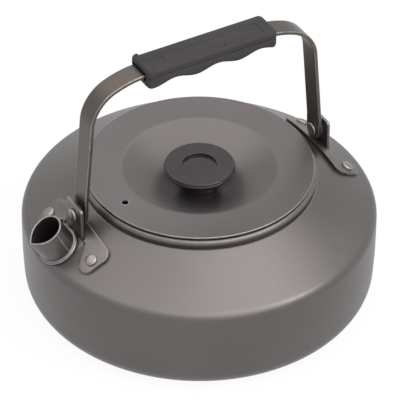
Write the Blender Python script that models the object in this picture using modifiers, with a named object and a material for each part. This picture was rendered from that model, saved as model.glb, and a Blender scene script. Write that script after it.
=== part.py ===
"""Camping kettle: a wide, low aluminium kettle with a lift-off lid and a bail that folds to either side.

The kettle stands on z = 0, with its axis along z. Its spout points to -X, and the bail turns about an
axis along X. Lengths are in metres and angles in radians.
"""

import math

import bmesh
import bpy
from mathutils import Matrix, Vector

# Clearances
GAP = 0.0003
HOLE_GAP = 0.0003

# Body
BODY_RADIUS = 0.0898
WALL_LEAN = 0.0014
SHOULDER_HEIGHT = 0.0464
SHOULDER_SLOPE = math.radians(32.2)
WALL_BULGE = 0.00075
WALL_CURVE = 0.330
BASE_CORNER = 0.0110
SHOULDER_CORNER = 0.0084
BODY_WALL = 0.0011

# Rolled bead around the mouth
SHOULDER_RUN = 0.0312
BEAD_THICKNESS = 0.0040
BEAD_LEDGE = 0.00045
BEAD_RISE = 0.0024
NECK_DEPTH = 0.0010

# Spout
SPOUT_SETBACK = 0.0092
SPOUT_ELEVATION = math.radians(54.9)
SPOUT_ROOT_RADIUS = 0.0093
SPOUT_WALL = 0.0009
SPOUT_LENGTH = 0.0157
SPOUT_INNER_LENGTH = 0.0050
SPOUT_FLARE = 0.0007
MOUTH_HALF_WIDTH = 0.0077
MOUTH_CENTRE = -0.0026
MOUTH_REACH = 0.0115
MOUTH_TILT = 0.074
LIP_POWER = 2.4
SPOUT_EASE = 1.3
COLLAR_WALL = 0.0008
COLLAR_HEIGHT = 0.0018
COLLAR_EDGE = 0.0003

# Brackets, with x measured from the kettle's axis and y to either side
PLATE_THICKNESS = 0.0014
EAR_THICKNESS = 0.0015
EAR_STANDOFF = 0.0123
EAR_WIDTH = 0.0156
EAR_RISE = 0.0068
EAR_CORNER = 0.0020
PLATE_INSET = 0.0049
WING_SPAN = 0.0548
WING_REACH = 0.0082
WING_WIDTH = 0.0094
WING_SLANT = 0.0065
WING_CORNER = 0.0040
WING_TAPER = 0.0010
NOTCH_WIDTH = 0.0013
NOTCH_DEPTH = 0.0014

# Bracket rivets, each placed from its wing's outer corner
RIVET_SHANK_RADIUS = 0.0015
RIVET_HEAD_RADIUS = 0.0031
RIVET_HEAD_HEIGHT = 0.0015
RIVET_TAIL_RADIUS = 0.0025
RIVET_TAIL_HEIGHT = 0.0010
HEAD_RIM = 0.0003
RIVET_FROM_EAR = 0.0027
RIVET_FROM_WING_END = 0.0062

# Pivots of the bail
PIVOT_RISE = 0.0107
PIVOT_SHANK_RADIUS = 0.0020
PIVOT_HEAD_RADIUS = 0.0036
PIVOT_OUTER_HEAD = 0.0015
PIVOT_INNER_HEAD = 0.0012
WASHER_THICKNESS = 0.0016
WASHER_RADIUS = 0.0048

# Bail strap
STRAP_WIDTH = 0.0114
STRAP_THICKNESS = 0.0020
STRAP_EDGE = 0.0004
STRAP_END_RADIUS = 0.0053
STRAP_END_ARC = math.radians(80)
BAIL_RISE = 0.0735
BAIL_CORNER_DROP = 0.0083
BAIL_SLOPE = math.radians(21.7)
BAIL_LEAN = math.radians(4.8)
BAIL_UPRIGHT = 0.0072
BAIL_UPPER_BEND = 0.0490
BAIL_CORNER_BEND = 0.0210
BAIL_FOOT_BEND = 0.0200

# Grip
GRIP_LENGTH = 0.0744
GRIP_SHIFT = 0.0025
GRIP_WIDTH = 0.0170
GRIP_COVER = 0.0028
GRIP_COVER_DEPTH = 0.0037
GRIP_EDGE = 0.0018
GRIP_END_ROUND = 0.0022
GRIP_COLLAR = 0.0034
GRIP_COLLAR_SLANT = 0.0008
GRIP_COLLAR_RAISE = 0.0010
GRIP_COLLAR_WIDEN = 0.0004
LOBE_DEPTH = 0.0024
LOBE_PITCH = 0.0230
LOBE_SHIFT = 0.0008
LOBE_BOTTOM = 0.0070
POCKET_DEPTH = 0.0020
POCKET_MARGIN = 0.0011
PIN_RADIUS = 0.0016
PIN_SPACING = 0.0420
PIN_DEPTH = 0.0040
PIN_COVER = 0.0008

# Lid
LID_SHEET = 0.0010
LID_SEAT = 0.0004
LID_SETBACK = 0.0008
LID_EDGE = 0.0004
LID_RIM = 0.0187
DISH_DEPTH = 0.0115
DISH_FLOOR_RADIUS = 0.0125
DISH_RIM_BEND = 0.0050
DISH_FLOOR_BEND = 0.0120
VENT_RADIUS = 0.0017
VENT_INSET = 0.0103
VENT_ANGLE = math.radians(188.5)
RING_SHEET = 0.0009
RING_CLEARANCE = 0.0010
RING_DEPTH = 0.0067
RING_FLANGE = 0.0040

# Knob and its fixing
KNOB_RADIUS = 0.0181
KNOB_HEIGHT = 0.0123
KNOB_DISC = 0.0026
KNOB_CONE = 0.0030
KNOB_NECK_RADIUS = 0.0086
KNOB_FOOT_RADIUS = 0.0096
KNOB_RECESS_RADIUS = 0.0086
KNOB_RECESS_DEPTH = 0.0011
KNOB_EDGE = 0.0009
INSERT_RADIUS = 0.0036
INSERT_LENGTH = 0.0080
SCREW_RADIUS = 0.0017
SCREW_LENGTH = 0.0090
SCREW_HEAD_RADIUS = 0.0036
SCREW_HEAD_HEIGHT = 0.0022
SCREW_SLOT_LENGTH = 0.0042
SCREW_SLOT_WIDTH = 0.0010
SCREW_SLOT_DEPTH = 0.0011
KNOB_WASHER_RADIUS = 0.0065
KNOB_WASHER_THICKNESS = 0.0010

# Fineness of the round shapes
BODY_STEPS = 64
KNOB_STEPS = 40
SMALL_STEPS = 20
RIVET_STEPS = 14
SPOUT_COLUMNS = 28
SPOUT_ROWS = 6
BEAD_POINTS = 8
LOBE_POINTS = 32
END_POINTS = 3
DOME_POINTS = 3
STRAP_END_POINTS = 6
FINE_ARC = math.radians(18)
COARSE_ARC = math.radians(40)
SHARP_ANGLE = math.radians(32)
SQUARE_ANGLE = math.radians(70)
MERGE = 0.00001

# Finishes: base colour, roughness, metallic
ANODISED = ("hard_anodised_aluminium", (0.150, 0.143, 0.138), 0.45, 0.85)
BRACKET_STEEL = ("bracket_steel", (0.270, 0.250, 0.245), 0.38, 0.90)
RIVET_STEEL = ("rivet_steel", (0.420, 0.390, 0.380), 0.32, 0.95)
STRAP_STEEL = ("strap_steel", (0.170, 0.160, 0.148), 0.36, 0.90)
GRIP_RUBBER = ("grip_rubber", (0.040, 0.039, 0.040), 0.62, 0.00)
KNOB_PLASTIC = ("knob_plastic", (0.022, 0.021, 0.022), 0.40, 0.00)
BRASS = ("brass", (0.560, 0.400, 0.170), 0.35, 1.00)
SCREW_STEEL = ("screw_steel", (0.520, 0.520, 0.510), 0.30, 1.00)
WASHER_PLASTIC = ("washer_plastic", (0.060, 0.060, 0.060), 0.55, 0.00)


# Places that follow from the sizes

def shoulder_height_at(radius):
    """Height of the outside of the shoulder at a distance from the axis."""
    return SHOULDER_HEIGHT + (BODY_RADIUS - radius) * math.tan(SHOULDER_SLOPE)


BASE_RADIUS = BODY_RADIUS - WALL_LEAN
BEAD_RADIUS = BODY_RADIUS - SHOULDER_RUN
FOOT_RADIUS = BEAD_RADIUS + BEAD_LEDGE
BEAD_CENTRE_RADIUS = BEAD_RADIUS - BEAD_THICKNESS / 2
BEAD_CENTRE_HEIGHT = shoulder_height_at(FOOT_RADIUS) + BEAD_RISE
BEAD_TOP = BEAD_CENTRE_HEIGHT + BEAD_THICKNESS / 2
MOUTH_RADIUS = BEAD_RADIUS - BEAD_THICKNESS

EAR_INNER = BEAD_RADIUS + EAR_STANDOFF
EAR_OUTER = EAR_INNER + EAR_THICKNESS
PIVOT_HEIGHT = shoulder_height_at(EAR_INNER) + PIVOT_RISE
RIVET_X = EAR_INNER + RIVET_FROM_EAR
RIVET_Y = WING_SPAN / 2 - RIVET_FROM_WING_END
PLATE_TOP = GAP + PLATE_THICKNESS

WASHER_OUTER = EAR_INNER - GAP
STRAP_OUTER = WASHER_OUTER - WASHER_THICKNESS - GAP
STRAP_MIDDLE = STRAP_OUTER - STRAP_THICKNESS / 2
STRAP_INNER = STRAP_OUTER - STRAP_THICKNESS
STRAP_TOP = PIVOT_HEIGHT + BAIL_RISE
PIVOT_HOLE_RADIUS = PIVOT_SHANK_RADIUS + HOLE_GAP

COLLAR_RADIUS = SPOUT_ROOT_RADIUS + HOLE_GAP + COLLAR_WALL

GRIP_FRONT = GRIP_SHIFT - GRIP_LENGTH / 2
GRIP_REAR = GRIP_SHIFT + GRIP_LENGTH / 2
GRIP_TOP = STRAP_TOP + STRAP_THICKNESS / 2 + GRIP_COVER
GRIP_SEAM = GRIP_TOP - GRIP_COVER_DEPTH
LOBE_MIDDLE = STRAP_TOP - LOBE_BOTTOM + LOBE_DEPTH / 2

LID_UNDERSIDE = BEAD_TOP + LID_SEAT
LID_TOP = LID_UNDERSIDE + LID_SHEET
LID_RADIUS = BEAD_RADIUS - LID_SETBACK
DISH_RADIUS = LID_RADIUS - LID_RIM
VENT_DISTANCE = LID_RADIUS - VENT_INSET
DISH_FLOOR = LID_TOP - DISH_DEPTH
RING_RADIUS = MOUTH_RADIUS - RING_CLEARANCE
KNOB_BOTTOM = DISH_FLOOR + GAP
KNOB_TOP = KNOB_BOTTOM + KNOB_HEIGHT
KNOB_WASHER_TOP = DISH_FLOOR - LID_SHEET - GAP
SCREW_SEAT = KNOB_WASHER_TOP - KNOB_WASHER_THICKNESS - GAP
SCREW_HOLE_RADIUS = SCREW_RADIUS + HOLE_GAP


# Outlines

def round_corner(before, corner, after, radius, arc_step):
    """Points along the arc that rounds off one corner."""
    if radius <= 0:
        return [corner]
    to_before = (before - corner).normalized()
    to_after = (after - corner).normalized()
    half_angle = to_before.angle(to_after) / 2
    centre = corner + (to_before + to_after).normalized() * radius / math.sin(half_angle)
    start = corner + to_before * radius / math.tan(half_angle) - centre
    end = corner + to_after * radius / math.tan(half_angle) - centre
    first = math.atan2(start.y, start.x)
    sweep = (math.atan2(end.y, end.x) - first + math.pi) % math.tau - math.pi
    count = max(2, math.ceil(abs(sweep) / arc_step - 0.01))
    angles = [first + sweep * index / count for index in range(count + 1)]
    return [centre + Vector((math.cos(angle), math.sin(angle))) * radius for angle in angles]


def rounded(corners, closed=False, arc_step=FINE_ARC):
    """Turn corners, each (first, second, radius), into an outline with its corners rounded off."""
    points = [Vector(corner[:2]) for corner in corners]
    outline = []
    for index, point in enumerate(points):
        is_end = index in (0, len(points) - 1)
        if is_end and not closed:
            outline.append(point)
            continue
        after = points[(index + 1) % len(points)]
        outline.extend(round_corner(points[index - 1], point, after, corners[index][2], arc_step))
    return outline


def offset(corners, distance):
    """Move an open outline sideways by a distance, to the left of its direction of travel."""
    points = [Vector(corner[:2]) for corner in corners]
    steps = [after - before for before, after in zip(points, points[1:])]
    normals = [Vector((-step.y, step.x)).normalized() for step in steps]
    first = points[0] + normals[0] * distance
    moved = [(first.x, first.y, 0)]
    for index in range(1, len(points) - 1):
        mitre = (normals[index - 1] + normals[index]).normalized()
        point = points[index] + mitre * distance / mitre.dot(normals[index])
        turn = math.copysign(1, steps[index - 1].cross(steps[index]))
        radius = corners[index][2]
        moved.append((point.x, point.y, max(radius - turn * distance, 0) if radius else 0))
    last = points[-1] + normals[-1] * distance
    moved.append((last.x, last.y, 0))
    return moved


def arc(centre, radius, start, end, count):
    """Points on an arc, from one angle to another."""
    angles = [start + (end - start) * index / count for index in range(count + 1)]
    return [Vector((centre[0] + radius * math.cos(a), centre[1] + radius * math.sin(a))) for a in angles]


def dome(radius, base, height):
    """Profile of a low dome, from its middle to its rim. A negative height hangs it from its base."""
    angles = [math.pi / 2 * index / DOME_POINTS for index in range(DOME_POINTS + 1)]
    return [(radius * math.sin(angle), base + height * math.cos(angle)) for angle in angles]


def mirrored_loop(half):
    """Close an outline that is given for y > 0 only, by adding its mirror image."""
    return half + [(x, -y, radius) for x, y, radius in reversed(half)]


# Building blocks

def clear_scene():
    """Start from an empty scene."""
    for item in list(bpy.data.objects):
        bpy.data.objects.remove(item, do_unlink=True)


def collection(name):
    """A fresh collection in the scene."""
    group = bpy.data.collections.new(name)
    bpy.context.scene.collection.children.link(group)
    return group


def material(finish):
    """The Principled material of a finish, made once."""
    name, colour, roughness, metallic = finish
    surface = bpy.data.materials.get(name)
    if surface:
        return surface
    surface = bpy.data.materials.new(name)
    surface.use_nodes = True
    shader = surface.node_tree.nodes["Principled BSDF"]
    shader.inputs["Base Color"].default_value = (*colour, 1)
    shader.inputs["Roughness"].default_value = roughness
    shader.inputs["Metallic"].default_value = metallic
    surface.diffuse_color = (*colour, 1)
    return surface


def place(name, mesh, group, frame=None):
    """Put a mesh into a collection as an object, in a frame of its own if one is given."""
    item = bpy.data.objects.new(name, mesh)
    group.objects.link(item)
    if frame:
        item.matrix_world = frame
    if group.name == "cutters":
        item.hide_render = True
        item.display_type = 'WIRE'
    return item


def turned(name, profile, group, steps, frame=None, closed=False):
    """Turn a profile of (radius, height) points about z. It runs down the outer side."""
    edges = [(index, index + 1) for index in range(len(profile) - 1)]
    if closed:
        edges.append((len(profile) - 1, 0))
    mesh = bpy.data.meshes.new(name)
    mesh.from_pydata([(radius, 0, height) for radius, height in profile], edges, [])
    item = place(name, mesh, group, frame)
    turn = item.modifiers.new("Turn", 'SCREW')
    turn.axis = 'Z'
    turn.angle = math.tau
    turn.steps = steps
    turn.render_steps = steps
    turn.use_merge_vertices = True
    turn.merge_threshold = MERGE
    turn.use_smooth_shade = True
    return item


def rod(name, radius, low, high, group, frame=None, steps=SMALL_STEPS):
    """A plain round rod along z."""
    return turned(name, [(0, high), (radius, high), (radius, low), (0, low)], group, steps, frame)


def ring(name, outer, inner, low, high, group, steps, frame=None):
    """A plain round ring along z."""
    profile = [(inner, high), (outer, high), (outer, low), (inner, low)]
    return turned(name, profile, group, steps, frame, closed=True)


def extruded(name, outline, low, high, group, frame=None):
    """A flat outline made solid between two heights, as a mesh that can be cut."""
    curve = bpy.data.curves.new(name, 'CURVE')
    curve.dimensions = '2D'
    curve.fill_mode = 'BOTH'
    curve.extrude = (high - low) / 2
    spline = curve.splines.new('POLY')
    spline.points.add(len(outline) - 1)
    for point, (first, second) in zip(spline.points, outline):
        point.co = (first, second, 0, 1)
    spline.use_cyclic_u = True
    guide = bpy.data.objects.new(name + "_outline", curve)
    group.objects.link(guide)
    guide.matrix_world = (frame or Matrix.Identity(4)) @ Matrix.Translation((0, 0, (low + high) / 2))
    mesh = evaluated_mesh(guide)
    shape = bmesh.new()
    shape.from_mesh(mesh)
    bmesh.ops.remove_doubles(shape, verts=shape.verts, dist=MERGE)
    shape.to_mesh(mesh)
    shape.free()
    item = place(name, mesh, group, guide.matrix_world)
    bpy.data.objects.remove(guide)
    return item


def block(name, lowest, highest, group, frame=None):
    """A box between two corners."""
    centre = (Vector(lowest) + Vector(highest)) / 2
    size = Vector(highest) - Vector(lowest)
    shape = bmesh.new()
    bmesh.ops.create_cube(shape, size=1, matrix=Matrix.Translation(centre) @ Matrix.Diagonal((*size, 1)))
    mesh = bpy.data.meshes.new(name)
    shape.to_mesh(mesh)
    shape.free()
    return place(name, mesh, group, frame)


def evaluated_mesh(item):
    """A new mesh of an object as its modifiers shape it."""
    bpy.context.view_layer.update()
    graph = bpy.context.evaluated_depsgraph_get()
    return bpy.data.meshes.new_from_object(item.evaluated_get(graph))


def combine(item, other, operation='DIFFERENCE'):
    """Cut, join or intersect an object with another."""
    step = item.modifiers.new(operation.capitalize(), 'BOOLEAN')
    step.operation = operation
    step.solver = 'EXACT'
    step.object = other


def soften(item, width, segments=2):
    """Round off the square edges of an object."""
    edge = item.modifiers.new("Edges", 'BEVEL')
    edge.width = width
    edge.segments = segments
    edge.limit_method = 'ANGLE'
    edge.angle_limit = SQUARE_ANGLE
    edge.use_clamp_overlap = True


def complete(item, finish):
    """Fix the modifiers into the mesh, shade it smooth between its sharp edges and give it a finish."""
    mesh = evaluated_mesh(item)
    item.modifiers.clear()
    item.data = mesh
    mesh.shade_smooth()
    mesh.set_sharp_from_angle(angle=SHARP_ANGLE)
    mesh.materials.clear()
    mesh.materials.append(material(finish))
    return item


def empty_at(name, location, group):
    """An empty on a joint's axis, for the pieces that move with it."""
    item = bpy.data.objects.new(name, None)
    item.location = location
    item.empty_display_size = BEAD_THICKNESS
    group.objects.link(item)
    return item


def hang_on(parent, items):
    """Parent pieces to an empty, and leave them where they are."""
    bpy.context.view_layer.update()
    for item in items:
        item.parent = parent
        item.matrix_parent_inverse = parent.matrix_world.inverted()


# Frames

def shoulder_frame(x, y):
    """Frame on the shoulder's outside at (x, y), its z axis square to the surface."""
    origin = Matrix.Translation((x, y, shoulder_height_at(math.hypot(x, y))))
    around = Matrix.Rotation(math.atan2(y, x), 4, 'Z')
    return origin @ around @ Matrix.Rotation(SHOULDER_SLOPE, 4, 'Y')


def spout_frame():
    """Frame where the spout's axis meets the shoulder: z along the spout, x to its lip."""
    distance = BODY_RADIUS - SPOUT_SETBACK
    origin = Matrix.Translation((-distance, 0, shoulder_height_at(distance)))
    half_turn = Matrix.Rotation(math.pi, 4, 'Z')
    return origin @ half_turn @ Matrix.Rotation(math.pi / 2 - SPOUT_ELEVATION, 4, 'Y')


def pivot_frame(side):
    """Frame on the bail's axis, its z axis pointing outward on one side of the kettle."""
    return Matrix.Translation((0, 0, PIVOT_HEIGHT)) @ Matrix.Rotation(side * math.pi / 2, 4, 'Y')


# Body

def body_outline(top_radius):
    """Corners of the body's outside, from the middle of the base to a point on the shoulder."""
    middle_radius = (BASE_RADIUS + BODY_RADIUS) / 2 + WALL_BULGE
    return [
        (0, 0, 0),
        (BASE_RADIUS, 0, BASE_CORNER),
        (middle_radius, SHOULDER_HEIGHT / 2, WALL_CURVE),
        (BODY_RADIUS, SHOULDER_HEIGHT, SHOULDER_CORNER),
        (top_radius, shoulder_height_at(top_radius), 0),
    ]


def body_envelope(name, distance, group):
    """A solid that fills the body's outside, grown by a distance, to trim what lies on the shoulder."""
    outline = rounded(offset(body_outline(MOUTH_RADIUS), -distance))
    outline.append(Vector((0, outline[-1].y)))
    return turned(name, list(reversed(outline)), group, BODY_STEPS)


def make_body(group, cutters):
    """Body with its rolled bead, and with holes for the spout and the bracket rivets."""
    inner_top = MOUTH_RADIUS + BODY_WALL * math.sin(SHOULDER_SLOPE)
    inside = rounded(offset(body_outline(inner_top), BODY_WALL), arc_step=COARSE_ARC)
    outside = rounded(body_outline(FOOT_RADIUS))
    bead_centre = (BEAD_CENTRE_RADIUS, BEAD_CENTRE_HEIGHT)
    bead = arc(bead_centre, BEAD_THICKNESS / 2, math.pi, -math.pi / 3, BEAD_POINTS)
    neck = Vector((BEAD_RADIUS - NECK_DEPTH, outside[-1].y))
    profile = inside + bead + [neck] + list(reversed(outside))
    body = turned("kettle_body", profile, group, BODY_STEPS)
    hole_size = (SPOUT_ROOT_RADIUS + HOLE_GAP, -SPOUT_LENGTH, SPOUT_LENGTH)
    combine(body, rod("spout_hole", *hole_size, cutters, spout_frame()))
    for index, (x, y) in enumerate(rivet_places()):
        cutter = rivet_hole("body_rivet_hole_%d" % (index + 1), x, y, cutters)
        combine(body, cutter)
    return complete(body, ANODISED)


# Spout

def mouth_point(angle):
    """Point of the spout's mouth: round at the back, drawn out to a blunt point at the lip."""
    if abs(angle) > math.pi / 2:
        across = MOUTH_HALF_WIDTH * math.sin(angle)
        return Vector((MOUTH_CENTRE + MOUTH_HALF_WIDTH * math.cos(angle), across))
    share = 1 - abs(angle) / (math.pi / 2)
    across = math.copysign(MOUTH_HALF_WIDTH * (1 - share ** LIP_POWER), angle)
    return Vector((MOUTH_CENTRE + MOUTH_REACH * share, across))


def spout_rows():
    """Height, radius and share of the mouth's shape for each row of the spout, from inside to lip."""
    shoulder_depth = BODY_WALL + 2 * HOLE_GAP
    flare = SPOUT_ROOT_RADIUS + SPOUT_FLARE
    rows = [(-SPOUT_INNER_LENGTH, flare, 0), (-SPOUT_INNER_LENGTH + SPOUT_FLARE, SPOUT_ROOT_RADIUS, 0)]
    rows.append((-shoulder_depth, SPOUT_ROOT_RADIUS, 0))
    for index in range(SPOUT_ROWS + 1):
        share = index / SPOUT_ROWS
        height = COLLAR_HEIGHT + (SPOUT_LENGTH - COLLAR_HEIGHT) * share
        rows.append((height, SPOUT_ROOT_RADIUS, share ** SPOUT_EASE))
    return rows


def make_spout(group):
    """Thin tube, lofted from its round root to the lipped mouth."""
    shape = bmesh.new()
    angles = [math.tau * column / SPOUT_COLUMNS - math.pi for column in range(SPOUT_COLUMNS)]
    rows = []
    for height, radius, share in spout_rows():
        row = []
        for angle in angles:
            root = Vector((radius * math.cos(angle), radius * math.sin(angle)))
            point = root.lerp(mouth_point(angle), share)
            row.append(shape.verts.new((point.x, point.y, height + MOUTH_TILT * point.x * share)))
        rows.append(row)
    for lower, upper in zip(rows, rows[1:]):
        for column in range(SPOUT_COLUMNS):
            after = (column + 1) % SPOUT_COLUMNS
            shape.faces.new((lower[column], lower[after], upper[after], upper[column]))
    mesh = bpy.data.meshes.new("spout_tube")
    shape.to_mesh(mesh)
    shape.free()
    spout = place("spout_tube", mesh, group, spout_frame())
    wall = spout.modifiers.new("Wall", 'SOLIDIFY')
    wall.thickness = SPOUT_WALL
    wall.offset = -1
    wall.use_even_offset = True
    return complete(spout, ANODISED)


def make_collar(group, cutters):
    """Ring around the root of the spout, trimmed to lie on the shoulder."""
    inner = COLLAR_RADIUS - COLLAR_WALL
    profile = [
        (inner, COLLAR_HEIGHT),
        (COLLAR_RADIUS - COLLAR_EDGE, COLLAR_HEIGHT),
        (COLLAR_RADIUS, COLLAR_HEIGHT - COLLAR_EDGE),
        (COLLAR_RADIUS, -SPOUT_ROOT_RADIUS),
        (inner, -SPOUT_ROOT_RADIUS),
    ]
    collar = turned("spout_collar", profile, group, SPOUT_COLUMNS, spout_frame(), closed=True)
    combine(collar, body_envelope("collar_seat", GAP, cutters))
    return complete(collar, ANODISED)


# Brackets

def rivet_places():
    """Where the four bracket rivets go through the shoulder."""
    return [(x, y) for x in (-RIVET_X, RIVET_X) for y in (-RIVET_Y, RIVET_Y)]


def rivet_hole(name, x, y, cutters):
    """Cutter for one rivet's hole, square to the shoulder."""
    reach = PLATE_TOP + RIVET_HEAD_HEIGHT
    return rod(name, RIVET_SHANK_RADIUS + HOLE_GAP, -reach, reach, cutters, shoulder_frame(x, y), RIVET_STEPS)


def plate_outline():
    """Outline of the base plate seen from above: two wings, and the tab that is bent up as the ear."""
    inner = EAR_INNER - PLATE_INSET
    wing_end = WING_SPAN / 2
    wing_outer = EAR_OUTER + WING_REACH
    wing_inner_y = wing_end - WING_WIDTH
    tab = EAR_WIDTH / 2 + GAP
    tab_edge = EAR_OUTER - GAP
    wing_root = wing_inner_y - WING_SLANT
    half = [
        (inner, wing_end, WING_CORNER),
        (wing_outer, wing_end - WING_TAPER, WING_CORNER),
        (wing_outer, wing_inner_y, WING_CORNER),
        (EAR_OUTER, wing_root, NOTCH_WIDTH),
        (EAR_OUTER, tab + NOTCH_WIDTH, 0),
        (EAR_OUTER - NOTCH_DEPTH, tab + NOTCH_WIDTH, 0),
        (EAR_OUTER - NOTCH_DEPTH, tab, 0),
        (tab_edge, tab, 0),
    ]
    return rounded(mirrored_loop(half), closed=True)


def ear_outline():
    """Outline of the ear, as (height above the pivot, side)."""
    low = shoulder_height_at(EAR_OUTER) - PIVOT_HEIGHT
    corners = mirrored_loop([(low, EAR_WIDTH / 2, 0), (EAR_RISE, EAR_WIDTH / 2, EAR_CORNER)])
    return [(-first, second) for first, second in rounded(corners, closed=True)]


def make_brackets(group, cutters):
    """Two pressed brackets: wings that follow the shoulder, and an ear for the bail's pivot."""
    top = PIVOT_HEIGHT + EAR_RISE
    rear = extruded("rear_bracket", plate_outline(), SHOULDER_HEIGHT / 2, top, group)
    combine(rear, body_envelope("plate_underside", GAP, cutters))
    combine(rear, body_envelope("plate_topside", PLATE_TOP, cutters), 'INTERSECT')
    ear = extruded("ear_blank", ear_outline(), EAR_INNER, EAR_OUTER, cutters, pivot_frame(1))
    combine(ear, body_envelope("ear_root", GAP + PLATE_THICKNESS / 2, cutters))
    combine(rear, ear, 'UNION')
    pivot_reach = (EAR_INNER - WASHER_THICKNESS, EAR_OUTER + WASHER_THICKNESS)
    combine(rear, rod("ear_hole", PIVOT_HOLE_RADIUS, *pivot_reach, cutters, pivot_frame(1)))
    for number, y in enumerate((-RIVET_Y, RIVET_Y), 1):
        combine(rear, rivet_hole("plate_rivet_hole_%d" % number, RIVET_X, y, cutters))
    complete(rear, BRACKET_STEEL)
    opposite = Matrix.Rotation(math.pi, 4, 'Z') @ rear.matrix_world
    front = place("front_bracket", rear.data.copy(), group, opposite)
    room = COLLAR_RADIUS + 2 * GAP
    combine(front, rod("collar_room", room, -SPOUT_ROOT_RADIUS, SPOUT_LENGTH, cutters, spout_frame()))
    complete(front, BRACKET_STEEL)


def make_bracket_rivets(group):
    """Four rivets: a low dome outside and a smaller one inside."""
    head_bottom = PLATE_TOP + GAP
    tail_top = -BODY_WALL - GAP
    head = dome(RIVET_HEAD_RADIUS, head_bottom + HEAD_RIM, RIVET_HEAD_HEIGHT - HEAD_RIM)
    tail = dome(RIVET_TAIL_RADIUS, tail_top - HEAD_RIM, HEAD_RIM - RIVET_TAIL_HEIGHT)
    shank = [
        (RIVET_HEAD_RADIUS, head_bottom),
        (RIVET_SHANK_RADIUS, head_bottom),
        (RIVET_SHANK_RADIUS, tail_top),
        (RIVET_TAIL_RADIUS, tail_top),
    ]
    profile = head + shank + tail[::-1]
    frames = [shoulder_frame(x, y) for x, y in rivet_places()]
    first = complete(turned("bracket_rivet_1", profile, group, RIVET_STEPS, frames[0]), RIVET_STEEL)
    copies = [place("bracket_rivet_%d" % number, first.data, group, frame)
              for number, frame in enumerate(frames[1:], 2)]
    return [first] + copies


def make_pivots(group):
    """A rivet and a friction washer on each side, which carry the bail."""
    outer_low = EAR_OUTER + GAP
    inner_high = STRAP_INNER - GAP
    outer_head = dome(PIVOT_HEAD_RADIUS, outer_low + HEAD_RIM, PIVOT_OUTER_HEAD - HEAD_RIM)
    inner_head = dome(PIVOT_HEAD_RADIUS, inner_high - HEAD_RIM, HEAD_RIM - PIVOT_INNER_HEAD)
    shank = [
        (PIVOT_HEAD_RADIUS, outer_low),
        (PIVOT_SHANK_RADIUS, outer_low),
        (PIVOT_SHANK_RADIUS, inner_high),
        (PIVOT_HEAD_RADIUS, inner_high),
    ]
    profile = outer_head + shank + inner_head[::-1]
    pieces = []
    for side, label in ((-1, "front"), (1, "rear")):
        rivet = turned("pivot_rivet_" + label, profile, group, SMALL_STEPS, pivot_frame(side))
        pieces.append(complete(rivet, RIVET_STEEL))
        span = (WASHER_OUTER - WASHER_THICKNESS, WASHER_OUTER)
        name = "pivot_washer_" + label
        washer = ring(name, WASHER_RADIUS, PIVOT_HOLE_RADIUS, *span, group, SMALL_STEPS, pivot_frame(side))
        pieces.append(complete(washer, WASHER_PLASTIC))
    return pieces


# Bail

def strap_half_path():
    """Middle line of half the strap, as (x, height), from the top of the bail to its pivot."""
    foot = PIVOT_HEIGHT + BAIL_UPRIGHT
    corner_height = STRAP_TOP - BAIL_CORNER_DROP
    corner_x = STRAP_MIDDLE - (corner_height - foot) * math.tan(BAIL_LEAN)
    upper_x = corner_x - BAIL_CORNER_DROP / math.tan(BAIL_SLOPE)
    return rounded([
        (0, STRAP_TOP, 0),
        (upper_x, STRAP_TOP, BAIL_UPPER_BEND),
        (corner_x, corner_height, BAIL_CORNER_BEND),
        (STRAP_MIDDLE, foot, BAIL_FOOT_BEND),
        (STRAP_MIDDLE, PIVOT_HEIGHT, 0),
    ])


def strap_shape(name, group, width, thickness):
    """A flat strip along the strap's path with rounded ends, made solid."""
    half_width = width / 2
    half = [(point.x, point.y, half_width) for point in strap_half_path()]
    end_radius = min(STRAP_END_RADIUS, half_width)
    for index in range(1, STRAP_END_POINTS + 1):
        angle = STRAP_END_ARC * index / STRAP_END_POINTS
        half.append((STRAP_MIDDLE, PIVOT_HEIGHT - end_radius * math.sin(angle), end_radius * math.cos(angle)))
    rows = [(-x, z, w) for x, z, w in reversed(half[1:])] + half
    shape = bmesh.new()
    edges = [(shape.verts.new((x, -w, z)), shape.verts.new((x, w, z))) for x, z, w in rows]
    for (left, right), (next_left, next_right) in zip(edges, edges[1:]):
        shape.faces.new((left, next_left, next_right, right))
    mesh = bpy.data.meshes.new(name)
    shape.to_mesh(mesh)
    shape.free()
    strip = place(name, mesh, group)
    sheet = strip.modifiers.new("Sheet", 'SOLIDIFY')
    sheet.thickness = thickness
    sheet.offset = 0
    sheet.use_even_offset = True
    return strip


def pin_places():
    """Where the grip's two pins stand, along x."""
    return [GRIP_SHIFT - PIN_SPACING / 2, GRIP_SHIFT + PIN_SPACING / 2]


def make_strap(group, cutters):
    """Bent steel strap, with holes for the pivots and for the grip's pins."""
    strap = strap_shape("bail_strap", group, STRAP_WIDTH, STRAP_THICKNESS)
    soften(strap, STRAP_EDGE)
    for side, label in ((-1, "front"), (1, "rear")):
        span = (STRAP_INNER - STRAP_THICKNESS, STRAP_OUTER + STRAP_THICKNESS)
        combine(strap, rod("strap_hole_" + label, PIVOT_HOLE_RADIUS, *span, cutters, pivot_frame(side)))
    for index, x in enumerate(pin_places()):
        frame = Matrix.Translation((x, 0, STRAP_TOP))
        reach = STRAP_THICKNESS
        name = "strap_pin_hole_%d" % (index + 1)
        combine(strap, rod(name, PIN_RADIUS + HOLE_GAP, -reach, reach, cutters, frame, RIVET_STEPS))
    return complete(strap, STRAP_STEEL)


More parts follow.
